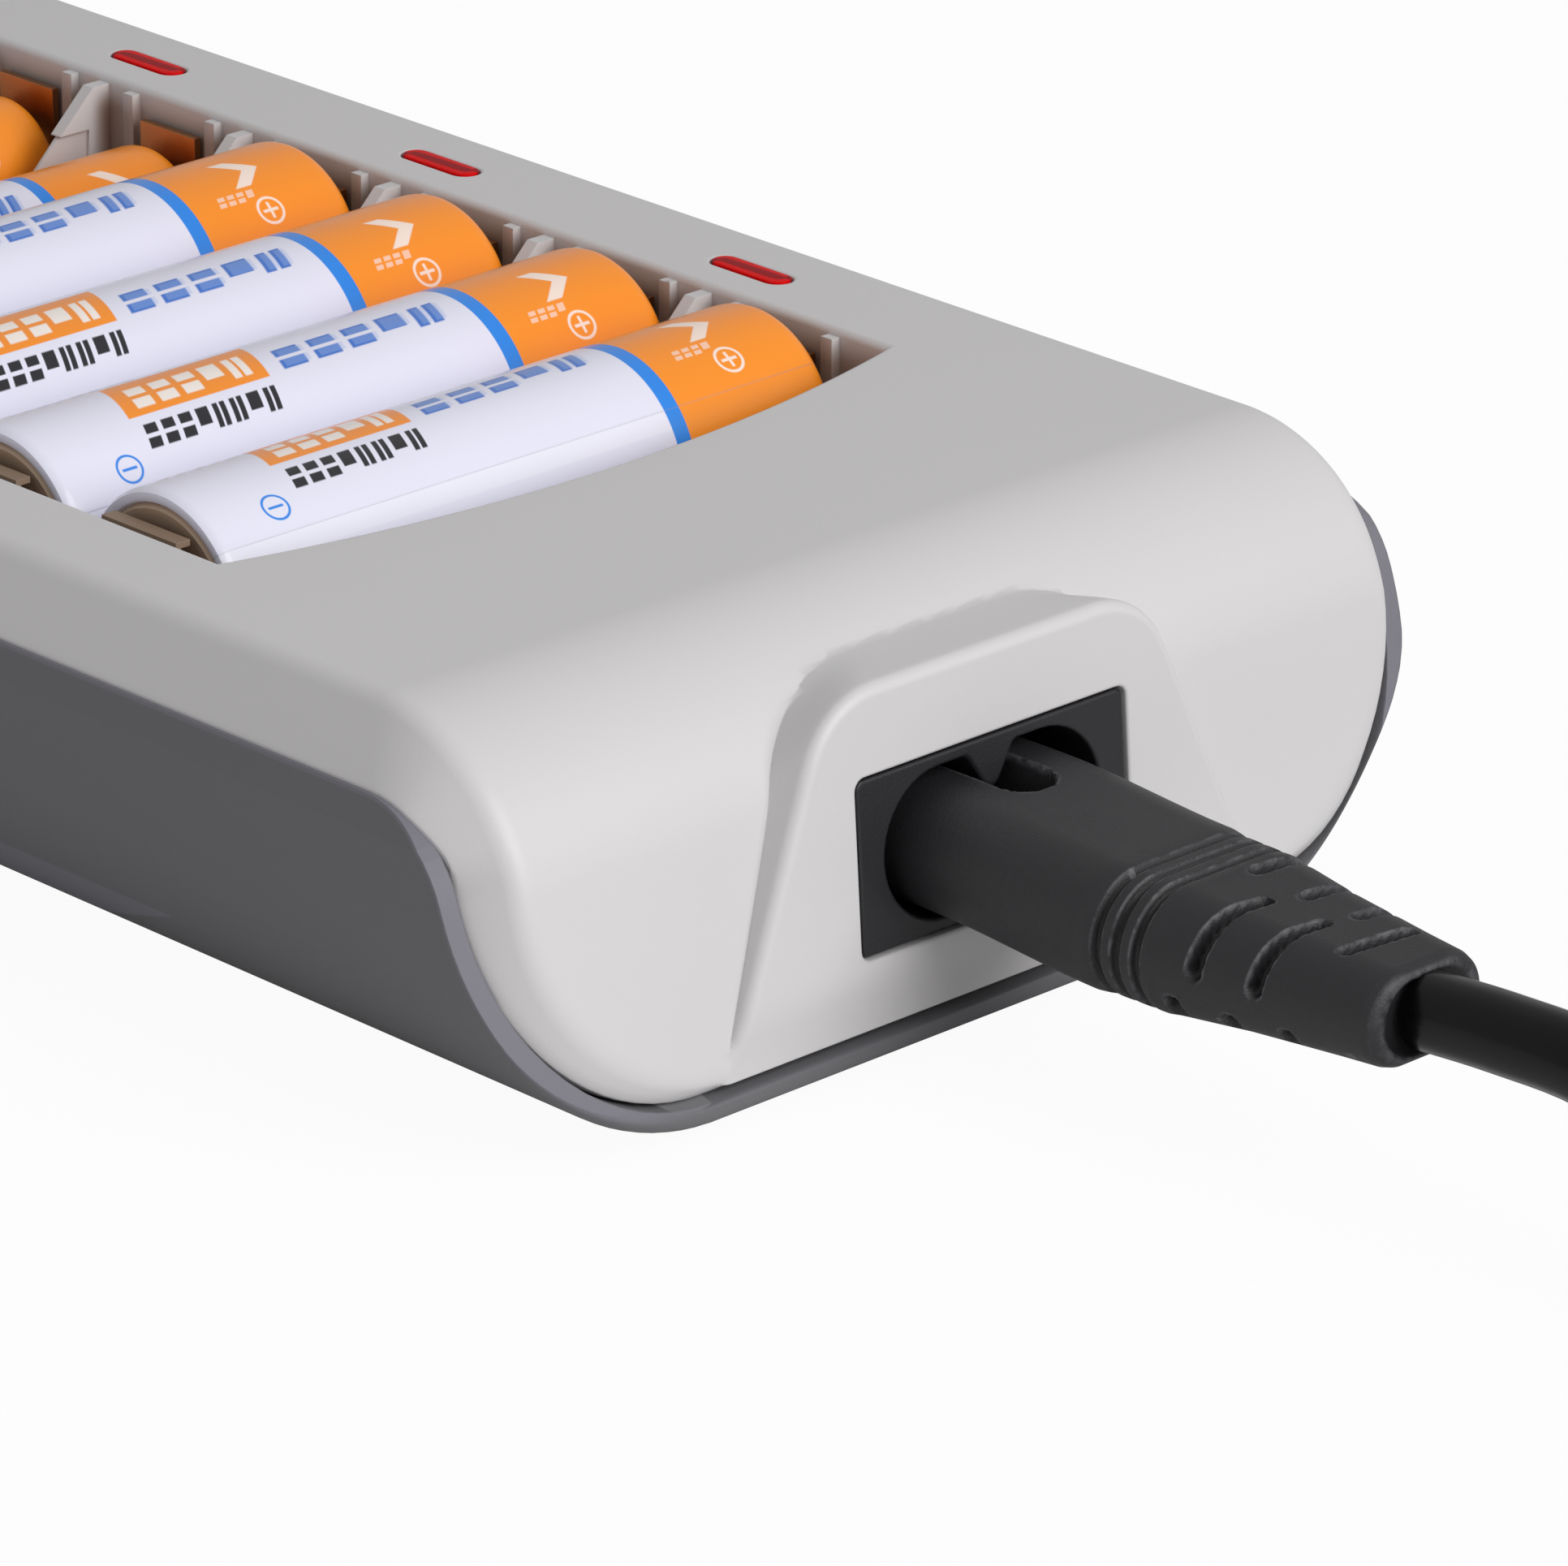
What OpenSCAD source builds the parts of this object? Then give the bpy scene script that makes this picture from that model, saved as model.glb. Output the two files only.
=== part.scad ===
// Eight bay charger for AA and AAA cells, with its mains lead.
// Millimetres. X runs along the case to the inlet end, Y to the lamp side, Z up.

/* [Cells and bays] */
// distance between neighbouring bays
bay_pitch = 14.8; // [14.6:0.1:18]
// diameter of an AA cell
aa_dia = 14.2; // [11.5:0.1:14.4]
// length of an AA cell with its stud
aa_len = 50.5; // [46:0.1:61]
// diameter of an AAA cell
aaa_dia = 10.4; // [8.6:0.1:12.5]
// length of an AAA cell with its stud
aaa_len = 44.5; // [40:0.1:48]
// free length of a bay beyond the AA cell
bay_spare = 4; // [3.4:0.1:6]
// wall of the bay well
bay_wall = 1.6; // [1.2:0.1:2]

/* [Case] */
// last bay axis to the inlet end
inlet_end = 45.6; // [42:0.1:56]
// first bay axis to the plain end
plain_end = 32.8; // [28:0.1:42]
// rim beside the bay well, one long side
side_rim = 11.75; // [10.8:0.05:15]
// bay floor above the underside
cell_floor = 12.8; // [12:0.1:16]
// top face above the AA axis
rim_rise = 6; // [4.8:0.1:7.4]
// radius of the long lower edges
keel_r = 16; // [13:0.1:17]
// thickness of the top plate
top_wall = 1.8; // [1.4:0.1:2.4]
// thickness of the grey base shell
base_wall = 1.4; // [1.2:0.1:2]
// seam of the two shells below the top face
seam_drop = 4.6; // [3.8:0.1:5.6]
// radius where the top face rolls into an end
end_roll = 12; // [9.6:0.1:13.5]
// backward lean of an end, per millimetre of height
end_lean = 0.17; // [0.1:0.01:0.22]
// length of the slanted band that rounds off the white corners
band_len = 5.5; // [4.4:0.1:6.4]
// width of that band across the end face
band_in = 4.3; // [3.6:0.1:5]
// plan radius of the grey corners
corner_r = 2.8; // [2.2:0.1:4]
// outward slant of the grey lip, per millimetre of height
lip_slant = 0.356; // [0.3:0.002:0.4]
// radius where the grey lip turns down at an end
lip_r = 7.2; // [6:0.1:8]
// gap between the two shells
shell_gap = 0.25; // [0.15:0.05:0.4]

/* [Inlet] */
// width of the inlet opening
inlet_w = 22.1; // [20.5:0.1:24]
// height of the inlet opening
inlet_h = 11.1; // [10.4:0.1:12]
// height of the inlet axis above the underside
inlet_up = 12.15; // [11.6:0.05:13.4]
// distance between the two pins
pin_pitch = 8.6; // [8:0.1:9.2]
// pin diameter
pin_dia = 2.4; // [2:0.1:2.6]
// clearance all round the inlet body
inlet_gap = 0.15; // [0.1:0.05:0.3]

/* [Contacts] */
// width of a contact flap
flap_w = 6.8; // [5.6:0.1:8]
// hinge wire diameter
wire_dia = 0.8; // [0.7:0.05:1]
// radial play of a flap on its wire
wire_play = 0.08; // [0.05:0.01:0.1]
// sheet thickness of the flaps
flap_t = 0.4; // [0.3:0.05:0.5]

/* [Lamps] */
// length of a light bar
lamp_len = 6.6; // [5.6:0.1:8]
// width of a light bar
lamp_w = 1.8; // [1.4:0.1:2.4]
// play of a light bar in its slot
lamp_gap = 0.1; // [0.05:0.05:0.2]

/* [Lead] */
// diameter of the lead
cord_d = 4.8; // [4:0.1:5.8]
// middle diameter of the coil
coil_d = 57; // [50:1:57]

/* [Hidden] */
$fn = 64;
foot_h = 1;
floor_z = foot_h + cell_floor;
aa_z = floor_z + aa_dia / 2 + 0.05;
aaa_z = floor_z + aaa_dia / 2 + 0.05;
top_z = aa_z + rim_rise;
seam_z = top_z - seam_drop;
body_len = plain_end + 7 * bay_pitch + inlet_end;
half_l = body_len / 2;
bay_len = aa_len + bay_spare;
half_w = bay_len / 2 + side_rim;
// the well sits a little off the middle, away from the lamps
well_shift = -0.95;
well_y0 = well_shift - bay_len / 2;
well_y1 = well_shift + bay_len / 2;
well_z0 = floor_z - bay_wall;
last_x = half_l - inlet_end;
function bay_x(k) = last_x - bay_pitch * (8 - k);
well_x0 = bay_x(1) - 9.3;
well_x1 = last_x + 9.3;
well_bow = bay_len * bay_len / 29.7;
well_bulge = 3.4;
stud_y = well_y1 - 1;
aa_y0 = stud_y - aa_len;
aaa_y0 = stud_y - aaa_len;
keel_z = foot_h + keel_r;
crease_in = 3.2;
inner_wall = 1.8;
skirt_in = base_wall + shell_gap;
hollow_in = skirt_in + inner_wall;
skirt_z = keel_z - 3;
board_z0 = foot_h + 5;
board_t = 1.6;
board_z1 = board_z0 + board_t;
board_hy = half_w - 7;
inlet_z = foot_h + inlet_up;
mouth_x = half_l - 0.4;
face_lean = 0.066;
inlet_x1 = mouth_x - 0.2;
inlet_x0 = half_l - 15.5;
inlet_depth = 13;
lobe_r = inlet_h / 2 - 0.95;
hinge_y = well_y0 + 1.55;
hinge_z = floor_z + 5.2;
knuckle_r = 1;
flap_len = aaa_y0 - 0.3 - hinge_y;
rail_t = 0.25;
lamp_y = well_y1 + 3.9;
screw_x = half_l - 15;
screw_y = half_w - 17;
screw_xs = [screw_x, -half_l + 13];
lead_z = inlet_z - 0.5;
plug_x0 = inlet_x1 - 10.8;
plug_x1 = half_l + 33.8;
grip_x = half_l + 13.8;
// the plug hangs a little below the inlet axis
grip_z = lead_z - 0.7;
soft_r = 0.7;
cord_sides = 10;

// cross section of the case, set in by t
module section(t) {
    y1 = half_w - keel_r;
    for (s = [-1, 1]) translate([s * y1, keel_z]) circle(r = keel_r - t);
    translate([-y1, foot_h + t]) square([2 * y1, keel_r]);
    side = [[half_w - t, keel_z], [half_w - t, seam_z - 2], [half_w - 0.7 - t, seam_z + 0.3],
        [half_w - crease_in - t, top_z - 0.8 - t], [half_w - crease_in - 0.9 - t, top_z - t]];
    other = [for (i = [4:-1:0]) [-side[i][0], side[i][1]]];
    polygon(concat(side, other));
}

function flip(v) = [for (i = [len(v) - 1:-1:0]) [-v[i][0], v[i][1]]];

// side view of the whole case, leaning ends rolled into the top, set in by t
module end_profile(t) {
    r = end_roll;
    z0 = top_z - r;
    k = end_lean;
    n = sqrt(1 + k * k);
    xc = half_l + k * (foot_h - z0) - r * n;
    q = r - t;
    turn = 90 - atan(k);
    roll = [for (i = [0:14]) let (a = atan(k) + turn * i / 14) [xc + q * cos(a), z0 + q * sin(a)]];
    right = concat([[half_l + k * (foot_h + 3) - t * n, -3]], roll);
    polygon(concat(right, flip(right)));
}

module side_bar() {
    rotate([90, 0, 0]) translate([0, 0, -half_w - 5]) linear_extrude(2 * half_w + 10) children();
}

module end_body(t) {
    side_bar() end_profile(t);
}

// plan of one end, its face at x = 0: round grey corners or the slanted white band
module corner_plan(grey) {
    r = corner_r;
    arc = [for (i = [0:6]) let (a = 9 + 12.2 * i) [-r + r * cos(a), half_w - r + r * sin(a)]];
    round_side = concat([[1, half_w - r - 0.2]], arc, [[-r - 2, half_w + 1]]);
    band_side = [[1, half_w - band_in * (1 + 1 / band_len)], [-band_len * (1 + 1 / band_in), half_w + 1]];
    side = grey ? round_side : band_side;
    other = [for (i = [len(side) - 1:-1:0]) [side[i][0], -side[i][1]]];
    far = -2 * half_l - 20;
    polygon(concat(side, [[far, half_w + 1], [far, -half_w - 1]], other));
}

module corner_bar(grey, inset) {
    translate([half_l - inset, 0, foot_h]) rotate([0, -atan(end_lean), 0])
        translate([0, 0, -40]) linear_extrude(130) corner_plan(grey);
}

module section_bar(t) {
    translate([-half_l - 5, 0, 0]) rotate([90, 0, 90])
        linear_extrude(2 * half_l + 10) section(t);
}

module case_form(grey) {
    intersection() {
        section_bar(0);
        end_body(0);
        corner_bar(grey, 0);
        mirror([1, 0, 0]) corner_bar(grey, 0);
    }
}

// side view of the grey base: its top edge turns down at the ends and slants out to the foot
module base_side(g, wide) {
    a0 = atan(lip_slant);
    r = lip_r + g;
    xc = half_l - 12.25;
    zc = seam_z - lip_r;
    step_z = keel_z - 7;
    arc = [for (i = [0:10]) let (a = a0 + (90 - a0) * i / 10) [xc + r * cos(a), zc + r * sin(a)]];
    x_step = arc[0][0] + lip_slant * (arc[0][1] - step_z);
    x_foot = arc[0][0] + lip_slant * (arc[0][1] + 4);
    low = wide ? [[half_l + 8, -4], [half_l + 8, step_z], [x_step, step_z]] : [[x_foot, -4]];
    right = concat(low, arc);
    polygon(concat(right, flip(right)));
}

// raised arch round the inlet
module arch_outline() {
    zb = foot_h + 1.9;
    for (s = [-1, 1]) translate([s * 9.4, top_z - 8.5]) circle(r = 6);
    polygon([[-22.4, zb], [22.4, zb], [14.9, top_z - 6.2], [9.4, top_z - 2.5],
        [-9.4, top_z - 2.5], [-14.9, top_z - 6.2]]);
}

module arch() {
    intersection() {
        translate([half_l - 14, 0, 0]) rotate([90, 0, 90]) linear_extrude(16) arch_outline();
        behind_face(mouth_x);
    }
}

module behind_face(x) {
    translate([x, 0, inlet_z]) rotate([0, -atan(face_lean), 0])
        translate([-40, -40, -40]) cube([40, 80, 80]);
}

module well_outline(g) {
    intersection() {
        translate([well_x0 - g, well_y0 - g])
            square([well_x1 + well_bulge + 2 * g - well_x0, bay_len + 2 * g]);
        translate([well_x1 + well_bulge - well_bow, well_shift]) circle(r = well_bow + g, $fn = 180);
        translate([well_x0 - 0.6 + well_bow, well_shift]) circle(r = well_bow + g + 0.6, $fn = 180);
    }
}

function bend(x, y, r, a) = [for (i = [0:4]) [x + r * cos(a + 22.5 * i), y + r * sin(a + 22.5 * i)]];

module soft_box(w, h, r) {
    x = w / 2 - r;
    y = h / 2 - r;
    polygon(concat(bend(x, y, r, 0), bend(-x, y, r, 90), bend(-x, -y, r, 180), bend(x, -y, r, 270)));
}

module inlet_bar(x, len, g) {
    translate([x, 0, inlet_z]) rotate([90, 0, 90]) linear_extrude(len)
        soft_box(inlet_w - 2 * g, inlet_h - 2 * g, soft_r - g);
}

// capsule outline of a light bar
module bar_outline(g) {
    r = lamp_w / 2 + g;
    d = lamp_len / 2 - lamp_w / 2;
    for (s = [-1, 1]) translate([s * d, 0]) circle(r = r);
    translate([-d, -r]) square([2 * d, 2 * r]);
}

function lamp_x(i) = bay_x(2 * i) - bay_pitch / 2;

// web between two bays at the stud end
module bay_fin(x) {
    y = well_y1 + 0.2;
    translate([x - 0.5, 0, 0]) rotate([90, 0, 90]) linear_extrude(1)
        polygon([[y, top_z - 0.3], [y - 1.4, top_z - 0.3], [y - 4.6, aa_z + 2.6],
            [y - 2.1, aa_z + 2.6], [y - 2.1, floor_z - 0.2], [y, floor_z - 0.2]]);
    translate([x - 0.17, 0, 0]) rotate([90, 0, 90]) linear_extrude(0.34)
        polygon([[y - 1.5, top_z - 0.6], [y - 6.6, aa_z + 0.4], [y - 6.6, aa_z - 0.6],
            [y - 1.5, aa_z - 0.6]]);
}

module cradle_rib(x) {
    translate([x, well_y1 + 0.2, 0]) rotate([90, 0, 0]) linear_extrude(bay_len + 0.4)
        polygon([[-1.7, floor_z - 0.2], [1.7, floor_z - 0.2], [0.5, floor_z + 3.1],
            [-0.5, floor_z + 3.1]]);
}

module shell_boss(x, y) {
    translate([x, y, board_z1 + 0.1]) difference() {
        cylinder(d = 6.4, h = top_z - top_wall - board_z1 + 0.4);
        translate([0, 0, -1]) cylinder(d = 2.9, h = 9);
    }
}

module top_shell() {
    color([0.86, 0.85, 0.84]) difference() {
        union() {
            difference() {
                union() {
                    difference() {
                        case_form(false);
                        difference() {
                            side_bar() base_side(shell_gap, true);
                            section_bar(skirt_in);
                        }
                    }
                    arch();
                }
                intersection() {
                    section_bar(hollow_in);
                    end_body(2.2);
                    corner_bar(false, 2.4);
                    mirror([1, 0, 0]) corner_bar(false, 2.4);
                    translate([-half_l, -half_w, -1])
                        cube([2 * half_l, 2 * half_w, top_z - top_wall + 1]);
                }
                translate([-half_l + 8, -half_w - 2, -1])
                    cube([2 * half_l - 16, 2 * half_w + 4, skirt_z + 1]);
            }
            translate([0, 0, well_z0]) linear_extrude(top_z - 0.9 - well_z0)
                well_outline(bay_wall);
            for (x = screw_xs, s = [-1, 1]) shell_boss(x, s * screw_y);
        }
        difference() {
            translate([0, 0, floor_z]) linear_extrude(30) well_outline(0);
            for (k = [1:7]) cradle_rib(bay_x(k) + bay_pitch / 2);
            for (k = [1:7]) bay_fin(bay_x(k) + bay_pitch / 2);
            for (k = [1:8], s = [-1, 1]) translate([bay_x(k) + s * 4.2 - 0.5, well_y1 - 0.7, 0])
                cube([1, 1, top_z - 0.5]);
        }
        inlet_bar(inlet_x0 - 6, 30, 0);
        for (k = [1:8]) translate([bay_x(k) - 1.6, stud_y, well_z0 - 1])
            cube([3.2, 0.9, 4]);
        for (k = [2, 7]) translate([bay_x(k) - 1.6, well_y0 - 0.15, well_z0 - 1])
            cube([3.2, 0.8, 4]);
        for (i = [1:4]) translate([lamp_x(i), lamp_y, top_z - 5])
            linear_extrude(9) bar_outline(lamp_gap);
    }
}

module base_shell() {
    color([0.33, 0.33, 0.35]) difference() {
        union() {
            intersection() {
                difference() {
                    case_form(true);
                    section_bar(base_wall);
                }
                side_bar() base_side(0, false);
            }
            for (x = screw_xs, s = [-1, 1]) translate([x, s * screw_y, foot_h + 0.6])
                cylinder(d = 8.6, h = board_z0 - 0.1 - foot_h - 0.6);
        }
        for (x = screw_xs, s = [-1, 1]) translate([x, s * screw_y, -1]) {
            cylinder(d = 5.8, h = foot_h + 3.3);
            cylinder(d = 3.2, h = 12);
        }
        for (p = foot_spots()) translate([p[0], p[1], foot_h - 1]) cylinder(d = 10.4, h = 1.6);
    }
}

function foot_spots() = [for (a = [-1, 1], b = [-1, 1]) [a * (half_l - 34), b * (half_w - 19)]];

module rubber_feet() {
    color([0.12, 0.12, 0.12]) for (p = foot_spots()) translate([p[0], p[1], 0])
        cylinder(d = 10, h = foot_h + 0.6);
}

module shell_screws() {
    color([0.5, 0.5, 0.52]) for (x = screw_xs, s = [-1, 1])
        translate([x, s * screw_y, foot_h + 0.25]) {
            difference() {
                cylinder(d = 5.4, h = 2);
                for (a = [0, 90]) rotate([0, 0, a]) translate([-1.5, -0.35, -1])
                    cube([3, 0.7, 2]);
            }
            cylinder(d = 2.7, h = 11.5);
        }
}

// two lobes joined by a waist
module figure_eight(r, d, waist) {
    for (s = [-1, 1]) translate([s * d, 0]) circle(r = r);
    translate([-d, -waist]) square([2 * d, 2 * waist]);
}

module inlet_socket() {
    color([0.16, 0.16, 0.17]) difference() {
        intersection() {
            inlet_bar(inlet_x0, 30, inlet_gap);
            behind_face(inlet_x1);
        }
        translate([inlet_x1 - inlet_depth, 0, inlet_z]) rotate([90, 0, 90])
            linear_extrude(inlet_depth + 3) figure_eight(lobe_r, pin_pitch / 2, 2.1);
        for (s = [-1, 1]) translate([inlet_x0 - 1, s * pin_pitch / 2, inlet_z])
            rotate([0, 90, 0]) cylinder(d = pin_dia + 0.04, h = 5);
    }
}

module inlet_pins() {
    color([0.78, 0.76, 0.72]) for (s = [-1, 1]) translate([0, s * pin_pitch / 2, 0]) {
        translate([inlet_x0 - 1.2, 0, inlet_z]) rotate([0, 90, 0])
            cylinder(d = pin_dia, h = inlet_x1 - 3 - inlet_x0);
        translate([inlet_x0 - 1.6, -0.6, board_z1]) cube([0.8, 1.2, inlet_z - board_z1 + 0.6]);
    }
}

module circuit_board() {
    color([0.16, 0.36, 0.22]) difference() {
        translate([-half_l + 8.6, -board_hy, board_z0])
            cube([2 * half_l - 19, 2 * board_hy, board_t]);
        for (x = screw_xs, s = [-1, 1]) translate([x, s * screw_y, 0]) cylinder(d = 3.2, h = 20);
    }
}

module transformer() {
    x = well_x1 + well_bulge + bay_wall + 1;
    color([0.85, 0.72, 0.25]) translate([x, -9.5, board_z1]) cube([12, 19, 2.6]);
    color([0.25, 0.22, 0.2]) translate([x + 1, -8.5, board_z1 + 2.6]) cube([10, 17, 9.4]);
    color([0.85, 0.72, 0.25]) translate([x, -9.5, board_z1 + 12]) cube([12, 19, 2]);
}

module main_capacitor() {
    x = well_x1 + well_bulge + bay_wall + 7;
    color([0.15, 0.2, 0.3]) translate([x, 12, board_z1 + 5.6]) rotate([-90, 0, 0])
        cylinder(d = 11, h = 13);
}

module output_capacitor() {
    x = well_x1 + well_bulge + bay_wall + 6;
    color([0.2, 0.25, 0.35]) translate([x, -18, board_z1]) cylinder(d = 8, h = 11.5);
}

module fuse() {
    color([0.75, 0.73, 0.66]) translate([inlet_x0 - 2, 14.6, board_z1 + 2.8])
        rotate([0, 90, 0]) cylinder(d = 5, h = 8);
}

module control_chip() {
    color([0.1, 0.1, 0.11]) translate([bay_x(4), -6, board_z1]) cube([10, 12, 1.6]);
}

module led_lamps() {
    color([0.9, 0.3, 0.25]) for (i = [1:4]) translate([lamp_x(i) - 1.5, lamp_y - 1, board_z1])
        cube([3, 2, 1.4]);
}

module lens(i) {
    color([0.75, 0.1, 0.12]) translate([lamp_x(i), lamp_y, board_z1 + 1.6])
        linear_extrude(top_z + 0.15 - board_z1 - 1.6) bar_outline(0);
}

// strip with a pair of ears for each flap
module negative_rail() {
    color([0.72, 0.7, 0.66]) difference() {
        union() {
            translate([bay_x(1) - 6, well_y0 + 0.1, hinge_z - 1.5])
                cube([7 * bay_pitch + 12, rail_t, 3]);
            for (k = [1:8], s = [-1, 1])
                translate([bay_x(k) + s * (flap_w / 2 + 0.5) - 0.3, well_y0 + 0.1, hinge_z - 1.1])
                    cube([0.6, 2.4, 2.2]);
            for (k = [2, 7]) translate([bay_x(k) - 1.2, well_y0 + 0.1, board_z1])
                cube([2.4, rail_t, hinge_z - board_z1 - 1]);
        }
        translate([bay_x(1) - 8, hinge_y, hinge_z]) rotate([0, 90, 0])
            cylinder(d = wire_dia + 0.1, h = 7 * bay_pitch + 16);
    }
}

module hinge_wires() {
    color([0.7, 0.7, 0.7]) for (k = [1:8])
        translate([bay_x(k) - flap_w / 2 - 1, hinge_y, hinge_z]) rotate([0, 90, 0])
            cylinder(d = wire_dia, h = flap_w + 2);
}

// contact flap standing up, hinge axis on the origin
module flap_form() {
    nose = aa_y0 - 0.2 - hinge_y;
    difference() {
        union() {
            translate([-flap_w / 2, 0, 0]) rotate([0, 90, 0]) cylinder(r = knuckle_r, h = flap_w);
            translate([-flap_w / 2, -flap_t / 2, 0.5]) cube([flap_w, flap_t, flap_len - 0.5]);
            translate([-flap_w / 2, -flap_t / 2, flap_len - flap_t]) cube([flap_w, 1.1, flap_t]);
            translate([0, -flap_t / 2, 3]) rotate([-90, 0, 0])
                cylinder(r = 1.6, h = nose + flap_t / 2);
        }
        translate([-flap_w, 0, 0]) rotate([0, 90, 0])
            cylinder(d = wire_dia + 2 * wire_play, h = 2 * flap_w);
    }
}

module flap(k) {
    color([0.8, 0.78, 0.74]) translate([bay_x(k), hinge_y, hinge_z])
        rotate([k < 5 ? -90 : 0, 0, 0]) flap_form();
}

module positive_contact(k) {
    color([0.76, 0.56, 0.34]) translate([bay_x(k), 0, 0]) {
        translate([-2.8, stud_y + 0.2, floor_z + 2]) cube([5.6, 0.5, top_z - floor_z - 4]);
        translate([-1.2, stud_y + 0.2, board_z1]) cube([2.4, 0.5, floor_z + 3 - board_z1]);
    }
}

module cell(d, len, stud_d, stud_h) {
    r = d / 2;
    b = len - stud_h;
    rotate([-90, 0, 0]) rotate_extrude() polygon([[0, 0], [r - 0.9, 0], [r - 0.3, 0.2], [r, 0.7],
        [r, b - 1.1], [r - 0.5, b - 0.4], [r - 1.4, b], [stud_d / 2, b],
        [stud_d / 2, len - 0.2], [stud_d / 2 - 0.3, len], [0, len]]);
}

module aa_cell(k) {
    color([0.95, 0.6, 0.15]) translate([bay_x(k), aa_y0, aa_z]) cell(aa_dia, aa_len, 5.4, 1.2);
}

module aaa_cell(k) {
    color([0.95, 0.6, 0.15]) translate([bay_x(k), aaa_y0, aaa_z])
        cell(aaa_dia, aaa_len, 3.8, 0.9);
}

module stadium(w, h, t) {
    rotate([90, 0, 90]) linear_extrude(t) {
        for (s = [-1, 1]) translate([s * (w - h) / 2, 0]) circle(d = h, $fn = 32);
        translate([-(w - h) / 2, -h / 2]) square([w - h, h]);
    }
}

taper_x = plug_x1 - 9.5;
function plug_w(x) = x < grip_x + 5 ? 14.2 : x < taper_x ? 11.8 + 2 * (taper_x - x) / 5.5
    : 11.8 - 2 * (x - taper_x) / 8.1;
function plug_h(x) = x < grip_x + 5 ? 7.8 : x < taper_x ? 6.8 + 0.9 * (taper_x - x) / 5.5
    : 6.8 - 0.7 * (x - taper_x) / 8.1;

module groove(x, t, depth) {
    translate([x, 0, grip_z]) difference() {
        stadium(plug_w(x) + 4, plug_h(x) + 4, t);
        translate([-1, 0, 0]) stadium(plug_w(x) - 2 * depth, plug_h(x) - 2 * depth, 3);
    }
}

// slot in the ribbed end, round one side from the middle of the top to the middle of the bottom
module slot(x, side) {
    intersection() {
        groove(x, 1.1, 0.7);
        translate([x - 1, side > 0 ? 1 : -13, grip_z - 8]) cube([4, 12, 16]);
    }
}

module lead_plug() {
    color([0.13, 0.13, 0.14]) difference() {
        union() {
            translate([plug_x0, 0, lead_z]) rotate([90, 0, 90])
                linear_extrude(half_l + 0.8 - plug_x0) figure_eight(3.6, 3.65, 1.4);
            hull() {
                translate([half_l - 0.15, 0, lead_z]) stadium(14.8, 8, 0.5);
                translate([grip_x, 0, grip_z]) stadium(14.8, 8, 0.5);
            }
            translate([grip_x, 0, grip_z]) stadium(14.2, 7.8, 5.2);
            hull() {
                translate([grip_x + 5, 0, grip_z]) stadium(13.8, 7.7, 0.5);
                translate([taper_x, 0, grip_z]) stadium(11.8, 6.8, 0.5);
            }
            hull() {
                translate([taper_x, 0, grip_z]) stadium(11.8, 6.8, 0.5);
                translate([plug_x1 - 1.4, 0, grip_z]) stadium(9.8, 6.1, 0.5);
                translate([plug_x1 - 0.5, 0, grip_z]) stadium(8.2, 5.2, 0.5);
            }
        }
        for (s = [-1, 1]) translate([plug_x0 - 1, s * pin_pitch / 2, inlet_z])
            rotate([0, 90, 0]) cylinder(d = pin_dia + 0.3, h = 10);
        for (s = [-1, 1]) translate([half_l - 5, 0, lead_z + s * 5.5]) rotate([0, 90, 0])
            rotate_extrude() polygon([[0, 0], [2.4, 0], [2.4, 6.6], [2.25, 7.5], [1.7, 8.3], [0.9, 8.8], [0, 9]]);
        for (i = [0:2]) groove(grip_x + 0.9 + 1.5 * i, 0.7, 0.45);
        for (i = [0:2]) {
            slot(grip_x + 5.6 + 4.3 * i, 1);
            slot(grip_x + 7.8 + 4.3 * i, -1);
        }
    }
}

// hand chosen route of the free lead, from the plug down to the coil
lead_path = [[plug_x1, 0, grip_z + 0.1], [plug_x1 + 6, 0, grip_z + 0.5],
    [plug_x1 + 13, 0, grip_z + 0.5], [plug_x1 + 22, 0, 10.4], [plug_x1 + 32, 0, 6.8],
    [plug_x1 + 42, 0, 3.8], [plug_x1 + 51, 0, 2.7], [half_l + 92.4, 0, 2.6]];
coil_x = half_l + 103;
coil_y = coil_d / 2 + cord_d / 2;
coil_top = 2 * coil_y;
tail_path = [[coil_x - 10.6, coil_top, 7.4], [coil_x - 18, coil_top - 0.5, 7.4],
    [coil_x - 26, coil_top - 2.4, 7.2], [coil_x - 34, coil_top - 4.3, 7],
    [coil_x - 42, coil_top - 4.8, 7]];

function unit3(v) = v / norm(v);
function catmull(p, i, u) = let (a = p[max(i - 1, 0)], b = p[i], c = p[i + 1],
    d = p[min(i + 2, len(p) - 1)])
    0.5 * (2 * b + (c - a) * u + (2 * a - 5 * b + 4 * c - d) * u * u
        + (3 * b - a - 3 * c + d) * u * u * u);
function smooth(p, n) = concat([for (i = [0:len(p) - 2], j = [0:n - 1]) catmull(p, i, j / n)],
    [p[len(p) - 1]]);

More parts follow.
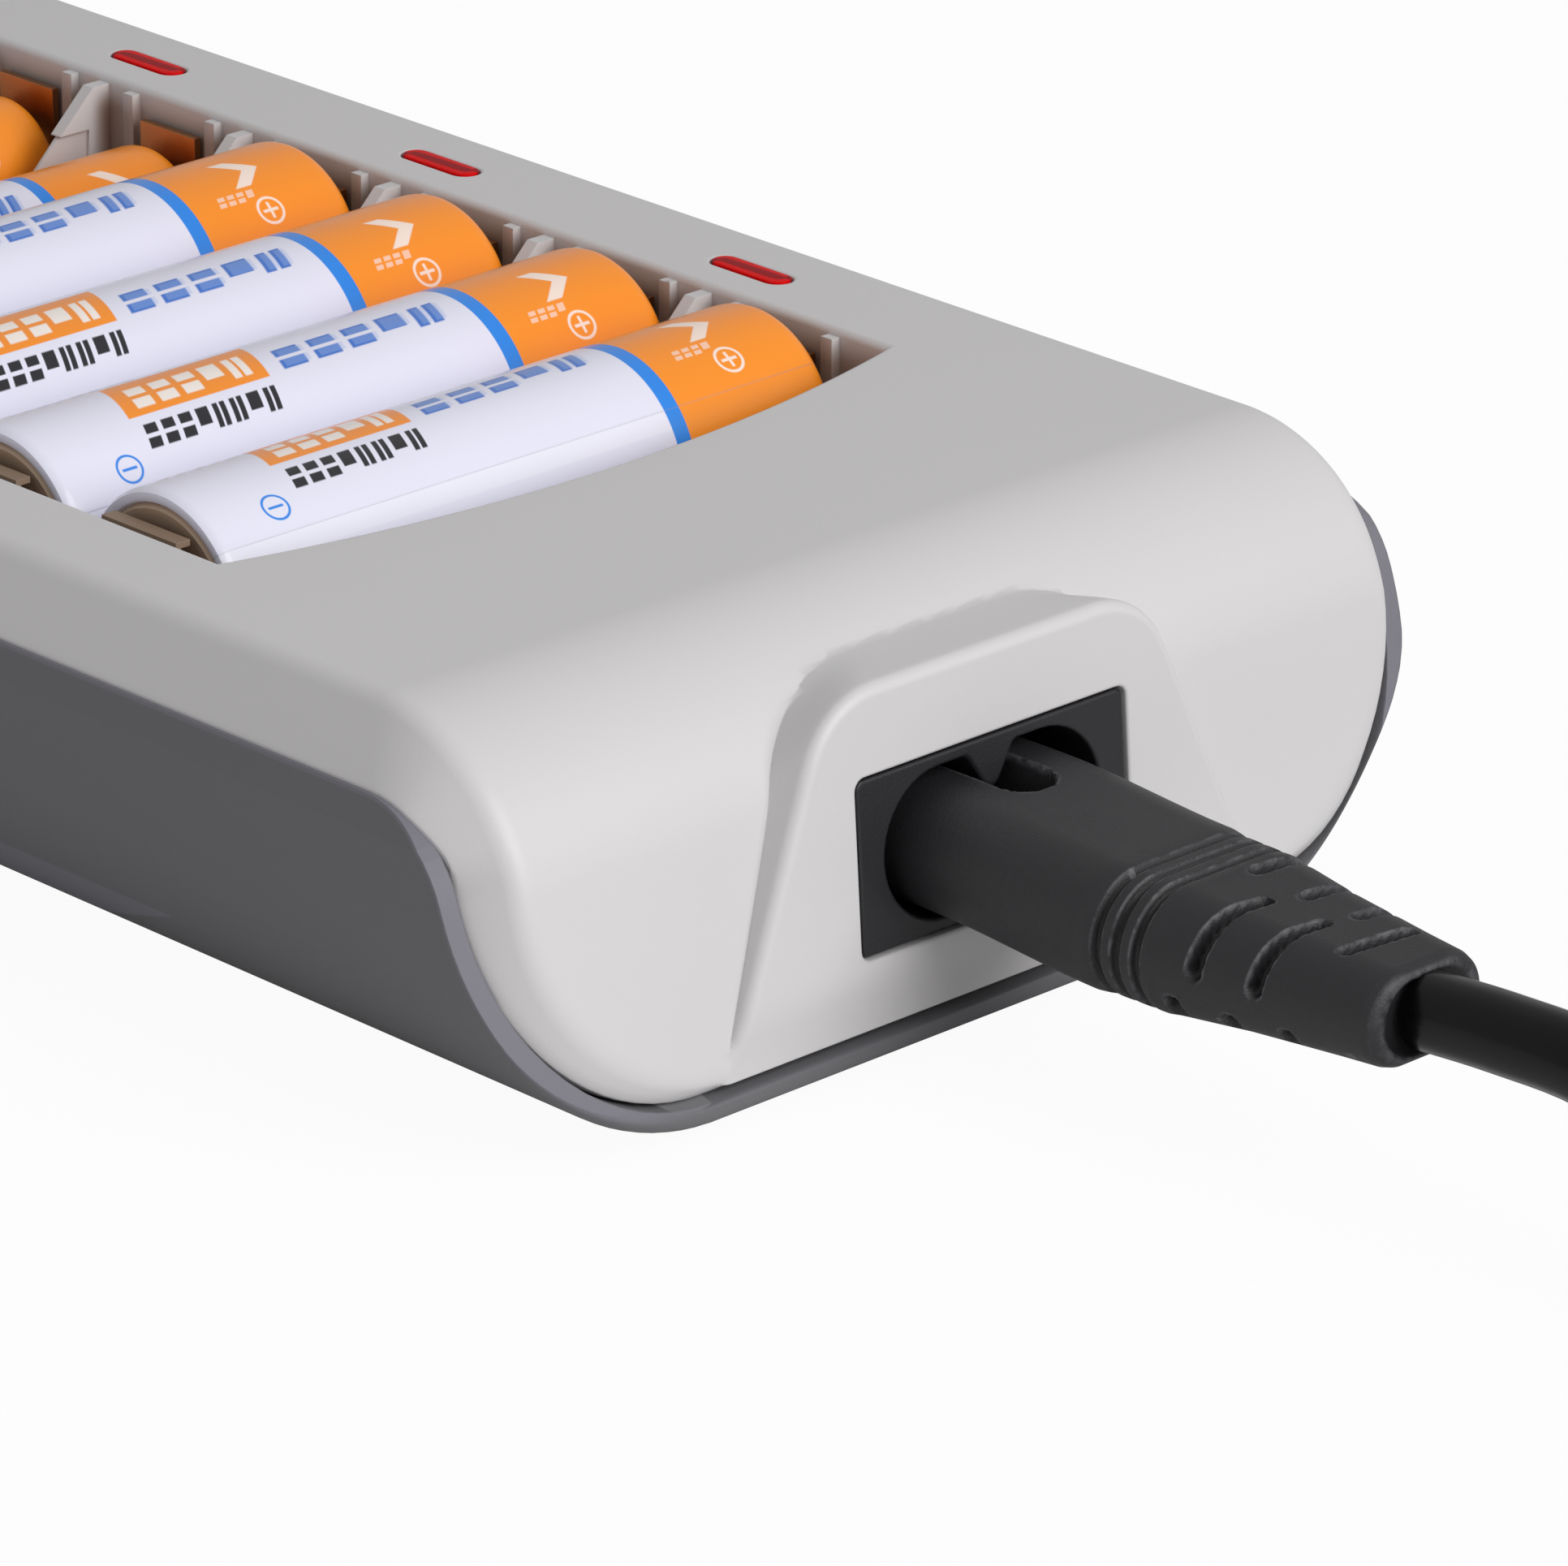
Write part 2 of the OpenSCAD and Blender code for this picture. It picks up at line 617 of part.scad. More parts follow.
module tube(path, d, sides) {
    n = len(path);
    rings = [for (i = [0:n - 1]) let (
        t = i == 0 || i == n - 1 ? [i == 0 ? sign(path[1][0] - path[0][0])
            : sign(path[n - 1][0] - path[n - 2][0]), 0, 0]
            : unit3(path[i + 1] - path[i - 1]),
        u = unit3(cross([0, 0, 1], t)), v = cross(t, u))
        [for (j = [0:sides - 1]) let (a = 360 * j / sides)
            path[i] + d / 2 * (cos(a) * u + sin(a) * v)]];
    pts = [for (r = rings, q = r) q];
    walls = [for (i = [0:n - 2], j = [0:sides - 1]) let (k = (j + 1) % sides)
        [i * sides + j, (i + 1) * sides + j, (i + 1) * sides + k, i * sides + k]];
    polyhedron(pts, concat(walls, [[for (j = [0:sides - 1]) j]],
        [[for (j = [sides - 1:-1:0]) (n - 1) * sides + j]]));
}

module lead_cord() {
    color([0.1, 0.1, 0.1]) {
        tube(smooth(lead_path, 2), cord_d, cord_sides);
        tube(smooth(tail_path, 2), cord_d, cord_sides);
    }
}

// the wound part of the lead as one closed ring
module lead_coil() {
    w = 2 * cord_d;
    h = 3 * cord_d;
    color([0.1, 0.1, 0.1]) translate([coil_x, coil_y, 0.2]) rotate_extrude()
        translate([coil_d / 2, 0]) {
            for (a = [-1, 1], b = [cord_d / 2, h - cord_d / 2]) translate([a * cord_d / 2, b])
                circle(d = cord_d, $fn = 24);
            translate([-cord_d, cord_d / 2]) square([w, h - cord_d]);
            translate([-cord_d / 2, 0]) square([cord_d, h]);
        }
}

module lead_tie() {
    color([0.15, 0.15, 0.15]) translate([coil_x + coil_d / 2, coil_y, 0.2 + 1.5 * cord_d])
        difference() {
            cube([2 * cord_d + 2.4, 6, 3 * cord_d + 0.4], center = true);
            cube([2 * cord_d + 0.8, 8, 3 * cord_d + 0.1], center = true);
        }
}

plug_end = tail_path[4];
module mains_plug() {
    color([0.12, 0.12, 0.13]) translate(plug_end) {
        translate([-10, 0, 0]) rotate([0, 90, 0]) cylinder(d1 = 9, d2 = 6.4, h = 10, $fn = 32);
        hull() {
            translate([-30, -17.6, -6.8]) cube([4, 35.2, 13.6]);
            translate([-11, -6, -5]) cube([2, 12, 10]);
        }
    }
}

module mains_pins() {
    color([0.78, 0.76, 0.72]) for (s = [-1, 1])
        translate([plug_end[0] - 49, plug_end[1] + s * 9.2, plug_end[2]]) rotate([0, 90, 0])
            cylinder(d = 4, h = 19);
}

top_shell();
base_shell();
inlet_socket();
inlet_pins();
circuit_board();
transformer();
main_capacitor();
output_capacitor();
fuse();
control_chip();
led_lamps();
lens(1);  // lens_1
lens(2);  // lens_2
lens(3);  // lens_3
lens(4);  // lens_4
negative_rail();
hinge_wires();
flap(1);  // flap_1
flap(2);  // flap_2
flap(3);  // flap_3
flap(4);  // flap_4
flap(5);  // flap_5
flap(6);  // flap_6
flap(7);  // flap_7
flap(8);  // flap_8
positive_contact(1);  // positive_contact_1
positive_contact(2);  // positive_contact_2
positive_contact(3);  // positive_contact_3
positive_contact(4);  // positive_contact_4
positive_contact(5);  // positive_contact_5
positive_contact(6);  // positive_contact_6
positive_contact(7);  // positive_contact_7
positive_contact(8);  // positive_contact_8
aaa_cell(1);  // aaa_cell_1
aaa_cell(2);  // aaa_cell_2
aaa_cell(3);  // aaa_cell_3
aaa_cell(4);  // aaa_cell_4
aa_cell(5);  // aa_cell_5
aa_cell(6);  // aa_cell_6
aa_cell(7);  // aa_cell_7
aa_cell(8);  // aa_cell_8
shell_screws();
rubber_feet();
lead_plug();
lead_cord();
lead_coil();
lead_tie();
mains_plug();
mains_pins();
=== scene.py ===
import bpy
import bmesh
import math
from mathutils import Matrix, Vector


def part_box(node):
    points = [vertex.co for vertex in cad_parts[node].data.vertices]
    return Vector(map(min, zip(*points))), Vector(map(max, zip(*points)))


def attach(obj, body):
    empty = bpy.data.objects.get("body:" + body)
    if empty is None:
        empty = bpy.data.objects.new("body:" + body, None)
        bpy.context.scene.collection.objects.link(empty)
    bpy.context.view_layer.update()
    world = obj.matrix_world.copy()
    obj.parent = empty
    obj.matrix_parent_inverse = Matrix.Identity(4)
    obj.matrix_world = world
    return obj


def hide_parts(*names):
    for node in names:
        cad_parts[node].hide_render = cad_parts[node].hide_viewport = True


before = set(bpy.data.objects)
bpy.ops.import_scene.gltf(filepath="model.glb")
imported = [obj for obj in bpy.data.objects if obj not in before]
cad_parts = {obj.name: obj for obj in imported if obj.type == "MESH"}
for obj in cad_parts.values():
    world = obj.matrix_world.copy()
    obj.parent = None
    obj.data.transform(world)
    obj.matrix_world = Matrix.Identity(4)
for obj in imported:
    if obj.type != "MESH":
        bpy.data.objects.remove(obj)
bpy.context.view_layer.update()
mm = 0.001


def corners(node):
    low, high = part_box(node)
    return [v / mm for v in low], [v / mm for v in high]


def middle(node):
    low, high = corners(node)
    return [(a + b) / 2 for a, b in zip(low, high)]


caseLow, caseHigh = corners("base_shell")
halfLen = caseHigh[0]
halfWide = caseHigh[1]
footRise = caseLow[2]
topZ = corners("top_shell")[1][2]


# Camera at the photograph's angle
view = {"place": (459.27, -369.02, 227.58), "tilt": 67.886, "turn": 46.336, "lens": 221.8}
lens = bpy.data.cameras.new("camera")
lens.lens = view["lens"]
lens.sensor_width = 36
lens.sensor_fit = "HORIZONTAL"
lens.clip_end = 20
camera = bpy.data.objects.new("camera", lens)
bpy.context.scene.collection.objects.link(camera)
camera.location = [v * mm for v in view["place"]]
camera.rotation_euler = (math.radians(view["tilt"]), 0, math.radians(view["turn"]))
bpy.context.scene.camera = camera
bpy.context.scene.view_settings.view_transform = "Standard"


def smoothStep(t):
    t = min(max(t, 0), 1)
    return t * t * (3 - 2 * t)


def mix(a, b, t):
    return a + (b - a) * t


def pulse(value, centre, wide, edge):
    return smoothStep((wide / 2 + edge - abs(value - centre)) / (2 * edge))


# Lead: route from the plug, the winding beside the case and the tail to the mains plug
lead = {
    "thick": 4.8,
    "route": [(124.8, 0, 12.05), (130.8, 0, 12.45), (137.8, 0, 12.45), (146.8, 0, 10.4),
              (156.8, 0, 6.8), (166.8, 0, 3.8), (175.8, 0, 2.7), (183.4, 0, 2.6)],
    "tail": [(183.4, 61.8, 7.4), (176, 61.3, 7.4), (168, 59.4, 7.2), (160, 57.5, 7), (152, 57, 7)],
    "centre": (194, 30.9),
    "inner": 26.1,
    "outer": 30.9,
    "layers": (2.6, 7.4, 12.2),
    "turns": 5.5,
    "perTurn": 18,
    "changes": (300, 625, 985, 1310, 1635),
    "changeArc": 84,
}


def coilPoint(turned):
    s = lead
    low, mid, high = s["layers"]
    places = [(s["outer"], low), (s["inner"], low), (s["inner"], mid), (s["inner"], high),
              (s["outer"], high), (s["outer"], mid)]
    radius, height = places[0]
    for i, change in enumerate(s["changes"]):
        t = smoothStep((turned - change) / s["changeArc"] + 0.5)
        radius = mix(radius, places[i + 1][0], t)
        height = mix(height, places[i + 1][1], t)
    a = math.radians(turned - 90)
    return (s["centre"][0] + radius * math.cos(a), s["centre"][1] + radius * math.sin(a), height)


def leadLine():
    s = lead
    steps = int(s["turns"] * s["perTurn"])
    coil = [coilPoint(360 * s["turns"] * i / steps) for i in range(steps + 1)]
    return s["route"] + coil + s["tail"]


def makeLead():
    points = leadLine()
    curve = bpy.data.curves.new("lead", "CURVE")
    curve.dimensions = "3D"
    spline = curve.splines.new("BEZIER")
    spline.bezier_points.add(len(points) - 1)
    for i, point in enumerate(spline.bezier_points):
        before = points[max(i - 1, 0)]
        after = points[min(i + 1, len(points) - 1)]
        place = points[i]
        pull = [(b - a) / 2 for a, b in zip(before, after)]
        size = math.hypot(*pull) or 1
        back = math.dist(before, place) / 3 / size
        ahead = math.dist(after, place) / 3 / size
        point.handle_left_type = "FREE"
        point.handle_right_type = "FREE"
        point.co = [v * mm for v in place]
        point.handle_left = [(v - p * back) * mm for v, p in zip(place, pull)]
        point.handle_right = [(v + p * ahead) * mm for v, p in zip(place, pull)]
        point.radius = lead["thick"] / 2 * mm
    spline.resolution_u = 5
    curve.bevel_depth = 1
    curve.bevel_resolution = 5
    curve.use_fill_caps = True
    obj = bpy.data.objects.new("lead", curve)
    bpy.context.scene.collection.objects.link(obj)
    return obj


cordPiece = makeLead()
print("camera and lead made")


# Mesh helpers
def link(name, mesh):
    obj = bpy.data.objects.new(name, mesh)
    bpy.context.scene.collection.objects.link(obj)
    return obj


def sharpen(obj, angle):
    mesh = obj.data
    mesh.polygons.foreach_set("use_smooth", [True] * len(mesh.polygons))
    mesh.set_sharp_from_angle(angle=math.radians(angle))


def tidyMesh(mesh, reach=0.0005):
    work = bmesh.new()
    work.from_mesh(mesh)
    bmesh.ops.remove_doubles(work, verts=work.verts, dist=reach * mm)
    bmesh.ops.dissolve_degenerate(work, edges=work.edges, dist=reach * mm)
    bmesh.ops.recalc_face_normals(work, faces=work.faces)
    work.to_mesh(mesh)
    work.free()


def meshPiece(name, points, faces, angle=40, reach=0.0005):
    mesh = bpy.data.meshes.new(name)
    mesh.from_pydata([(x * mm, y * mm, z * mm) for x, y, z in points], [], faces)
    tidyMesh(mesh, reach)
    obj = link(name, mesh)
    sharpen(obj, angle)
    return obj


def ringFaces(count, size, first=0, capped=True):
    faces = []
    for i in range(count - 1):
        for j in range(size):
            k = (j + 1) % size
            a = first + i * size
            faces.append((a + j, a + k, a + size + k, a + size + j))
    if capped:
        faces.append(tuple(first + j for j in range(size)))
        faces.append(tuple(first + (count - 1) * size + j for j in reversed(range(size))))
    return faces


def loft(name, rings, angle=40):
    points = [p for ring in rings for p in ring]
    return meshPiece(name, points, ringFaces(len(rings), len(rings[0])), angle)


def joined(name, shapes, angle=40):
    points = []
    faces = []
    for rings in shapes:
        faces += ringFaces(len(rings), len(rings[0]), len(points))
        points += [p for ring in rings for p in ring]
    return meshPiece(name, points, faces, angle)


def quarterRound(radius, count):
    turns = [math.pi / 2 * i / count for i in range(count + 1)]
    return [(radius * (1 - math.cos(t)), radius * (1 - math.sin(t))) for t in turns]


def mirrored(rows):
    return [[(-x, y, z) for x, y, z in row] for row in reversed(rows)]


def evenNormals(obj, angle):
    sharpen(obj, angle)
    even = obj.modifiers.new("evenNormals", "WEIGHTED_NORMAL")
    even.keep_sharp = True


def cadCopy(node, name):
    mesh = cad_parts[node].data.copy()
    mesh.materials.clear()
    tidyMesh(mesh, 0.002)
    return link(name, mesh)


def carve(obj, other, operation, selfCross=False):
    change = obj.modifiers.new("carve", "BOOLEAN")
    change.operation = operation
    change.solver = "EXACT"
    change.object = other
    change.use_self = selfCross
    bpy.context.view_layer.update()
    result = bpy.data.meshes.new_from_object(obj.evaluated_get(bpy.context.evaluated_depsgraph_get()))
    obj.modifiers.clear()
    old = obj.data
    obj.data = result
    bpy.data.meshes.remove(old)
    bpy.data.objects.remove(other, do_unlink=True)


# White top shell: the CAD moulding inside one smooth form, with softened openings
shell = {
    "skin": 0.04,
    "lean": 0.17,
    "roll": 12,
    "creaseTop": 35.2,
    "outTop": 38.1,
    "nearRing": 20.1,
    "farRing": 20.9,
    "ringZ": 17.5,
    "ringWide": 15,
    "ringHigh": 14.2,
    "soft": 1.0,
    "tuck": 1.65,
    "wall": 37.3,
    "sinkHigh": 0.6,
    "sinkLow": 1.0,
    "plate": 1.5,
    "thick": 2.2,
    "wellRim": 0.5,
    "lampRim": 0.22,
    "inletRim": 0.3,
    "slack": 0.03,
    "openFrom": 19,
    "inletFrom": (80, 94),
    "sharp": 19,
    "endSteps": 18,
    "rollSteps": 28,
    "topSteps": 24,
    "acrossSteps": 26,
}
# lip gives the grey shell's rim outline and the paler colour of its painted edge highlight
lip = {"x": 78.75, "z": 15.15, "r": 7.2, "slant": 0.356, "fade": (-0.3, -0.05), "colour": (116, 114, 122)}
base = {"keel": 16, "z": 17, "skin": 0.03, "sideRound": 0.6, "keelNear": 1.2, "keelFar": 4.2,
        "floorRound": 0.7, "seam": 22.35}
rollLift = topZ - shell["roll"]
rollRoot = math.sqrt(1 + shell["lean"] ** 2)
rollX = halfLen + shell["lean"] * (footRise - rollLift) - shell["roll"] * rollRoot


def rollPoint(a, deep=0):
    r = shell["roll"] - deep
    return rollX + r * math.cos(a), rollLift + r * math.sin(a)


def profileAt(z):
    lean = math.atan(shell["lean"])
    rise = (z - rollLift) / shell["roll"]
    if rise < math.sin(lean):
        return halfLen + shell["lean"] * (footRise - z), z, math.cos(lean), math.sin(lean)
    a = math.asin(min(rise, 1))
    return rollPoint(a)[0], z, math.cos(a), math.sin(a)


def lipAt(z):
    s = lip
    turn = math.atan(s["slant"])
    level = s["z"] + s["r"] * math.sin(turn)
    if z > level:
        return s["x"] + math.sqrt(max(s["r"] ** 2 - (z - s["z"]) ** 2, 0))
    return s["x"] + s["r"] * math.cos(turn) + s["slant"] * (level - z)


def along(point, direction, reach):
    return tuple(p + d * reach for p, d in zip(point, direction))


def edgeLine(crease, across, outer, normal, wall):
    size = math.dist(crease, outer)
    band = [(o - c) / size for o, c in zip(outer, crease)]
    reach = min(shell["soft"], size * 0.6)
    start = along(crease, across, -reach)
    end = along(crease, band, reach)
    line = []
    for i in range(9):
        t = i / 8
        ends = zip(start, crease, end)
        line.append(tuple((1 - t) ** 2 * p + 2 * t * (1 - t) * q + t * t * r for p, q, r in ends))
    rest = size - reach
    line += [along(crease, band, reach + rest * 0.4), along(outer, band, -min(0.3, rest * 0.3))]
    line += [along(along(outer, band, -min(0.07, rest * 0.1)), normal, -0.06), along(outer, normal, -0.3)]
    inner = math.copysign(min(abs(outer[1]), shell["wall"]), outer[1])
    low = along(outer, normal, -0.45)
    deep = along(outer, normal, -wall)
    return line + [(low[0], inner, low[2]), (deep[0], inner, deep[2])]


def formRow(far, near, sunk=0):
    far = [far[max(i, sunk)] for i in range(len(far))]
    near = [near[max(i, sunk)] for i in range(len(near))]
    across = shell["acrossSteps"]
    cap = [tuple(mix(p, q, i / across) for p, q in zip(far[0], near[0])) for i in range(1, across)]
    return list(reversed(far)) + cap + near


def whiteRows():
    s = shell
    rows = []
    skin = s["skin"]

    def pairRow(place, sunk=0):
        rings = ((1, s["farRing"]), (-1, s["nearRing"]))
        return formRow(*[edgeLine(*place(sign, ring), s["plate"]) for sign, ring in rings], sunk)

    def endRow(a, sunk=0):
        x, z, nx, nz = profileAt(s["ringZ"] + s["ringHigh"] * math.sin(a))
        level = base["z"] + (base["keel"] - s["tuck"]) * math.sin(a)
        outX = lipAt(level) - mix(s["sinkLow"], s["sinkHigh"], math.cos(a))
        outY = halfWide - base["keel"] + (base["keel"] - s["tuck"]) * math.cos(a)

        def place(sign, ring):
            crease = (x - nx * skin, sign * (ring + s["ringWide"] * math.cos(a)), z - nz * skin)
            across = (-s["lean"] * math.sin(a), sign * math.cos(a), math.sin(a))
            return crease, across, (outX, sign * outY, level), (nx, 0, nz)

        return pairRow(place, sunk)

    count = len(edgeLine((0, 0, 0), (0, 1, 0), (0, 2, -2), (0, 0, 1), 1))
    for sunk in range(count - 1, 0, -1):
        rows.append(endRow(-math.pi / 2, sunk))
    rows += [endRow(math.pi / 2 * (i / s["endSteps"] - 1)) for i in range(s["endSteps"] + 1)]
    first = math.asin((s["ringZ"] - rollLift) / s["roll"])
    for i in range(1, s["rollSteps"] + 1):
        t = i / s["rollSteps"]
        a = mix(first, math.pi / 2, t)
        turn = mix(math.atan(lip["slant"]), math.pi / 2, t)
        m = (math.cos(turn), 0, math.sin(turn))
        reach = mix(lip["r"] - s["sinkHigh"], lip["r"] + 0.15, smoothStep(t / 0.3))
        outY = mix(s["wall"], s["outTop"], smoothStep((t - 0.1) / 0.6))
        x, z = rollPoint(a, skin)

        def place(sign, ring):
            crease = (x, sign * mix(ring + s["ringWide"], s["creaseTop"], t), z)
            outer = (lip["x"] + reach * m[0], sign * outY, lip["z"] + reach * m[2])
            return crease, (0, sign, 0), outer, m

        rows.append(pairRow(place))
    for i in range(1, s["topSteps"] + 1):
        x = rollX * (1 - i / s["topSteps"])

        def place(sign, ring):
            crease = (x, sign * s["creaseTop"], topZ - skin)
            outer = (x * lip["x"] / rollX, sign * s["outTop"], lip["z"] + lip["r"] + 0.15)
            return crease, (0, sign, 0), outer, (0, 0, 1)

        rows.append(pairRow(place))
    return rows + mirrored(rows[:-1])


# Forms that keep the CAD moulding's inner side: along the case and across it
inside = {"shy": 0.35, "levels": (2.8, 6, 10, 14, 16.5), "half": 34.4, "above": 28, "reach": 92,
          "ringY": 19.4, "ringZ": 17.5, "ringWide": 15, "ringHigh": 14}


def insideForms():
    s = inside
    shy = s["shy"]
    outline = [(profileAt(z)[0] - shy, z) for z in s["levels"]]
    outline += [rollPoint(math.pi / 2 * i / 16, shy) for i in range(2, 17)]
    outline += [(-x, z) for x, z in reversed(outline)]
    side = [[(x, y, z) for x, z in outline] for y in (-s["half"], s["half"])]
    section = [(s["half"], s["above"]), (s["half"], s["ringZ"])]
    for turn in range(-10, -91, -10):
        a = math.radians(turn)
        section.append((s["ringY"] + s["ringWide"] * math.cos(a), s["ringZ"] + s["ringHigh"] * math.sin(a)))
    section += [(-y, z) for y, z in reversed(section)]
    return side, [[(x, y, z) for y, z in section] for x in (-s["reach"], s["reach"])]


# Room inside the white skin
core = {"stations": [(5.5, 20), (8, 25.5), (12, 29.5)], "half": 31, "deep": 11.5}


def coreRows():
    half = core["half"]
    places = [(*profileAt(z), wide) for z, wide in core["stations"] + [(rollLift, half)]]
    for i in range(3, 13):
        a = math.pi / 2 * i / 12
        places.append((*rollPoint(a), math.cos(a), math.sin(a), half))
    places.append((0, topZ, 0, 1, half))
    corner = ((1, shell["thick"]), (-1, shell["thick"]), (-1, core["deep"]), (1, core["deep"]))
    rows = [[(x - nx * d, side * wide, z - nz * d) for side, d in corner] for x, z, nx, nz, wide in places]
    return rows + mirrored(rows[:-1])


# Raised arch round the inlet, whose outline grows rounder towards the rear
arch = {
    "front": {"cy": 9.2, "cz": 18.2, "corner": 5.95, "side": 22.8},
    "rear": {"cy": 6.4, "cz": 13.05, "corner": 11.0, "side": 19.8},
    "face": 90.57,
    "lean": 0.066,
    "axis": 13.15,
    "foot": 3.0,
    "round": 0.75,
    "turned": 5.0,
    "depths": (7, 5.8, 5.0, 4.5, 4, 3.5, 3, 2.5, 2, 1.5, 1.1),
    "toe": {"from": 6.8, "over": 3.4, "deep": 0.7},
}


def archFace(z):
    toe = arch["toe"]
    back = toe["deep"] * smoothStep((toe["from"] - z) / toe["over"])
    return arch["face"] - arch["lean"] * (z - arch["axis"]) - back


def archOutline(inset, share):
    front = arch["front"]
    rear = arch["rear"]
    cy, cz, corner, side = [mix(front[key], rear[key], share) for key in ("cy", "cz", "corner", "side")]
    r = corner - inset
    a0 = math.radians(side)
    y1 = cy + r * math.cos(a0)
    z1 = cz + r * math.sin(a0)
    fall = (z1 - arch["foot"]) / 14
    right = [(y1 + math.tan(a0) * fall * i, z1 - fall * i) for i in range(14, 0, -1)]
    for i in range(13):
        a = mix(a0, math.pi / 2, i / 12)
        right.append((cy + r * math.cos(a), cz + r * math.sin(a)))
    flat = [(cy * (1 - 2 * i / 8), cz + r) for i in range(1, 8)]
    left = [(-y, z) for y, z in reversed(right)]
    bottom = [(-right[0][0] * (1 - 2 * i / 12), arch["foot"]) for i in range(1, 12)]
    return right + flat + left + bottom


def archRing(deep, inset):
    outline = archOutline(inset, smoothStep(deep / arch["turned"]))
    return [(archFace(z) - deep, y, z) for y, z in outline]


def makeArch():
    rings = [archRing(deep, 0) for deep in arch["depths"]]
    rings += [archRing(deep, inset) for inset, deep in quarterRound(arch["round"], 7)]
    size = len(rings[0])
    start = (len(rings) - 1) * size
    faces = ringFaces(len(rings), size, capped=False) + [tuple(range(size))]
    lastLeft = 60
    rows = 4
    front = [[i, i + 1, lastLeft - i - 1, lastLeft - i] for i in range(rows)]
    front[0] += range(lastLeft + 1, size)
    front.append(range(rows, lastLeft - rows + 1))
    faces += [tuple(start + j for j in row) for row in front]
    return meshPiece("archForm", [p for ring in rings for p in ring], faces)


# Openings
well = {"x0": -67.5, "x1": 58.1, "y0": -28.2, "y1": 26.3, "bow": 100, "farBow": 100.6}


def wellOutline(grow):
    s = well
    mid = (s["y0"] + s["y1"]) / 2
    count = 40
    ys = [mix(s["y0"] - grow, s["y1"] + grow, i / count) for i in range(count + 1)]
    right = [(s["x1"] - s["bow"] + math.sqrt((s["bow"] + grow) ** 2 - (y - mid) ** 2), y) for y in ys]
    farX = s["x0"] - 0.6 + s["bow"]
    left = [(max(farX - math.sqrt((s["farBow"] + grow) ** 2 - (y - mid) ** 2), s["x0"] - grow), y)
            for y in reversed(ys)]
    top = [(mix(right[-1][0], left[0][0], i / 12), s["y1"] + grow) for i in range(1, 12)]
    low = [(mix(left[-1][0], right[0][0], i / 12), s["y0"] - grow) for i in range(1, 12)]
    return right + top + left + low


def rimRings(outline, radius, top):
    rings = [[(x, y, top - deep) for x, y in outline(grow)] for grow, deep in quarterRound(radius, 5)]
    rings.append([(x, y, top + 1) for x, y in outline(radius)])
    return rings


lamp = {"long": 6.6, "wide": 1.8, "gap": 0.1, "y": 30.2, "proud": 0.02, "edge": 0.14, "crown": 0.45}
lampX = {i: middle("lens_%d" % i)[0] for i in range(1, 5)}


def capsule(cx, grow, count=14):
    cy = lamp["y"]
    r = lamp["wide"] / 2 + grow
    d = lamp["long"] / 2 - lamp["wide"] / 2
    turns = [math.pi * (i / count - 0.5) for i in range(count + 1)]
    right = [(cx + d + r * math.cos(a), cy + r * math.sin(a)) for a in turns]
    left = [(cx - d - r * math.cos(a), cy - r * math.sin(a)) for a in turns]
    return right + left


def lampGap(cx, grow):
    return capsule(cx, lamp["gap"] + grow)


inlet = {"wide": 22.1, "high": 11.1, "axis": 13.15, "round": 0.7, "face": 90.4, "lean": 0.066}


def softBox(grow):
    s = inlet
    r = s["round"] + grow
    y = s["wide"] / 2 - s["round"]
    z = s["high"] / 2 - s["round"]
    points = []
    for cy, cz, start in ((y, z, 0), (-y, z, 90), (-y, -z, 180), (y, -z, 270)):
        for i in range(6):
            a = math.radians(start + 18 * i)
            points.append((cy + r * math.cos(a), s["axis"] + cz + r * math.sin(a)))
    return points


def inletRim():
    r = shell["inletRim"]
    rings = [[(archFace(z) - deep, y, z) for y, z in softBox(grow)] for grow, deep in quarterRound(r, 4)]
    rings.append([(archFace(z) + 1, y, z) for y, z in softBox(r)])
    return rings


def prism(outline, low, high):
    return [[(x, y, z) for x, y in outline] for z in (low, high)]


def makeOpenings():
    slack = shell["slack"]
    shapes = [prism(wellOutline(slack), shell["openFrom"], topZ + 1)]
    for x in lampX.values():
        shapes.append(prism(lampGap(x, slack), shell["openFrom"], topZ + 1))
    shapes.append([[(x, y, z) for y, z in softBox(slack)] for x in shell["inletFrom"]])
    return joined("openings", shapes)


def makeRims():
    top = topZ - shell["skin"]
    shapes = [rimRings(wellOutline, shell["wellRim"], top)]
    for x in lampX.values():
        shapes.append(rimRings(lambda grow: lampGap(x, grow), shell["lampRim"], top))
    return joined("rims", shapes + [inletRim()])


def makeTopShell():
    obj = loft("top_shell_skin", whiteRows())
    carve(obj, loft("core", coreRows()), "DIFFERENCE", selfCross=True)
    raised = makeArch()
    carve(raised, loft("archCore", coreRows()), "DIFFERENCE")
    carve(obj, raised, "UNION", selfCross=True)
    carve(obj, makeOpenings(), "DIFFERENCE")
    moulding = cadCopy("top_shell", "moulding")
    for i, form in enumerate(insideForms()):
        carve(moulding, loft("form%d" % i, form), "INTERSECT")
    carve(obj, moulding, "UNION")
    carve(obj, makeRims(), "DIFFERENCE")
    tidyMesh(obj.data, 0.002)
    evenNormals(obj, shell["sharp"])
    return obj


topShell = makeTopShell()
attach(topShell, "case")
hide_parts("top_shell")
print("top shell made", len(topShell.data.polygons))


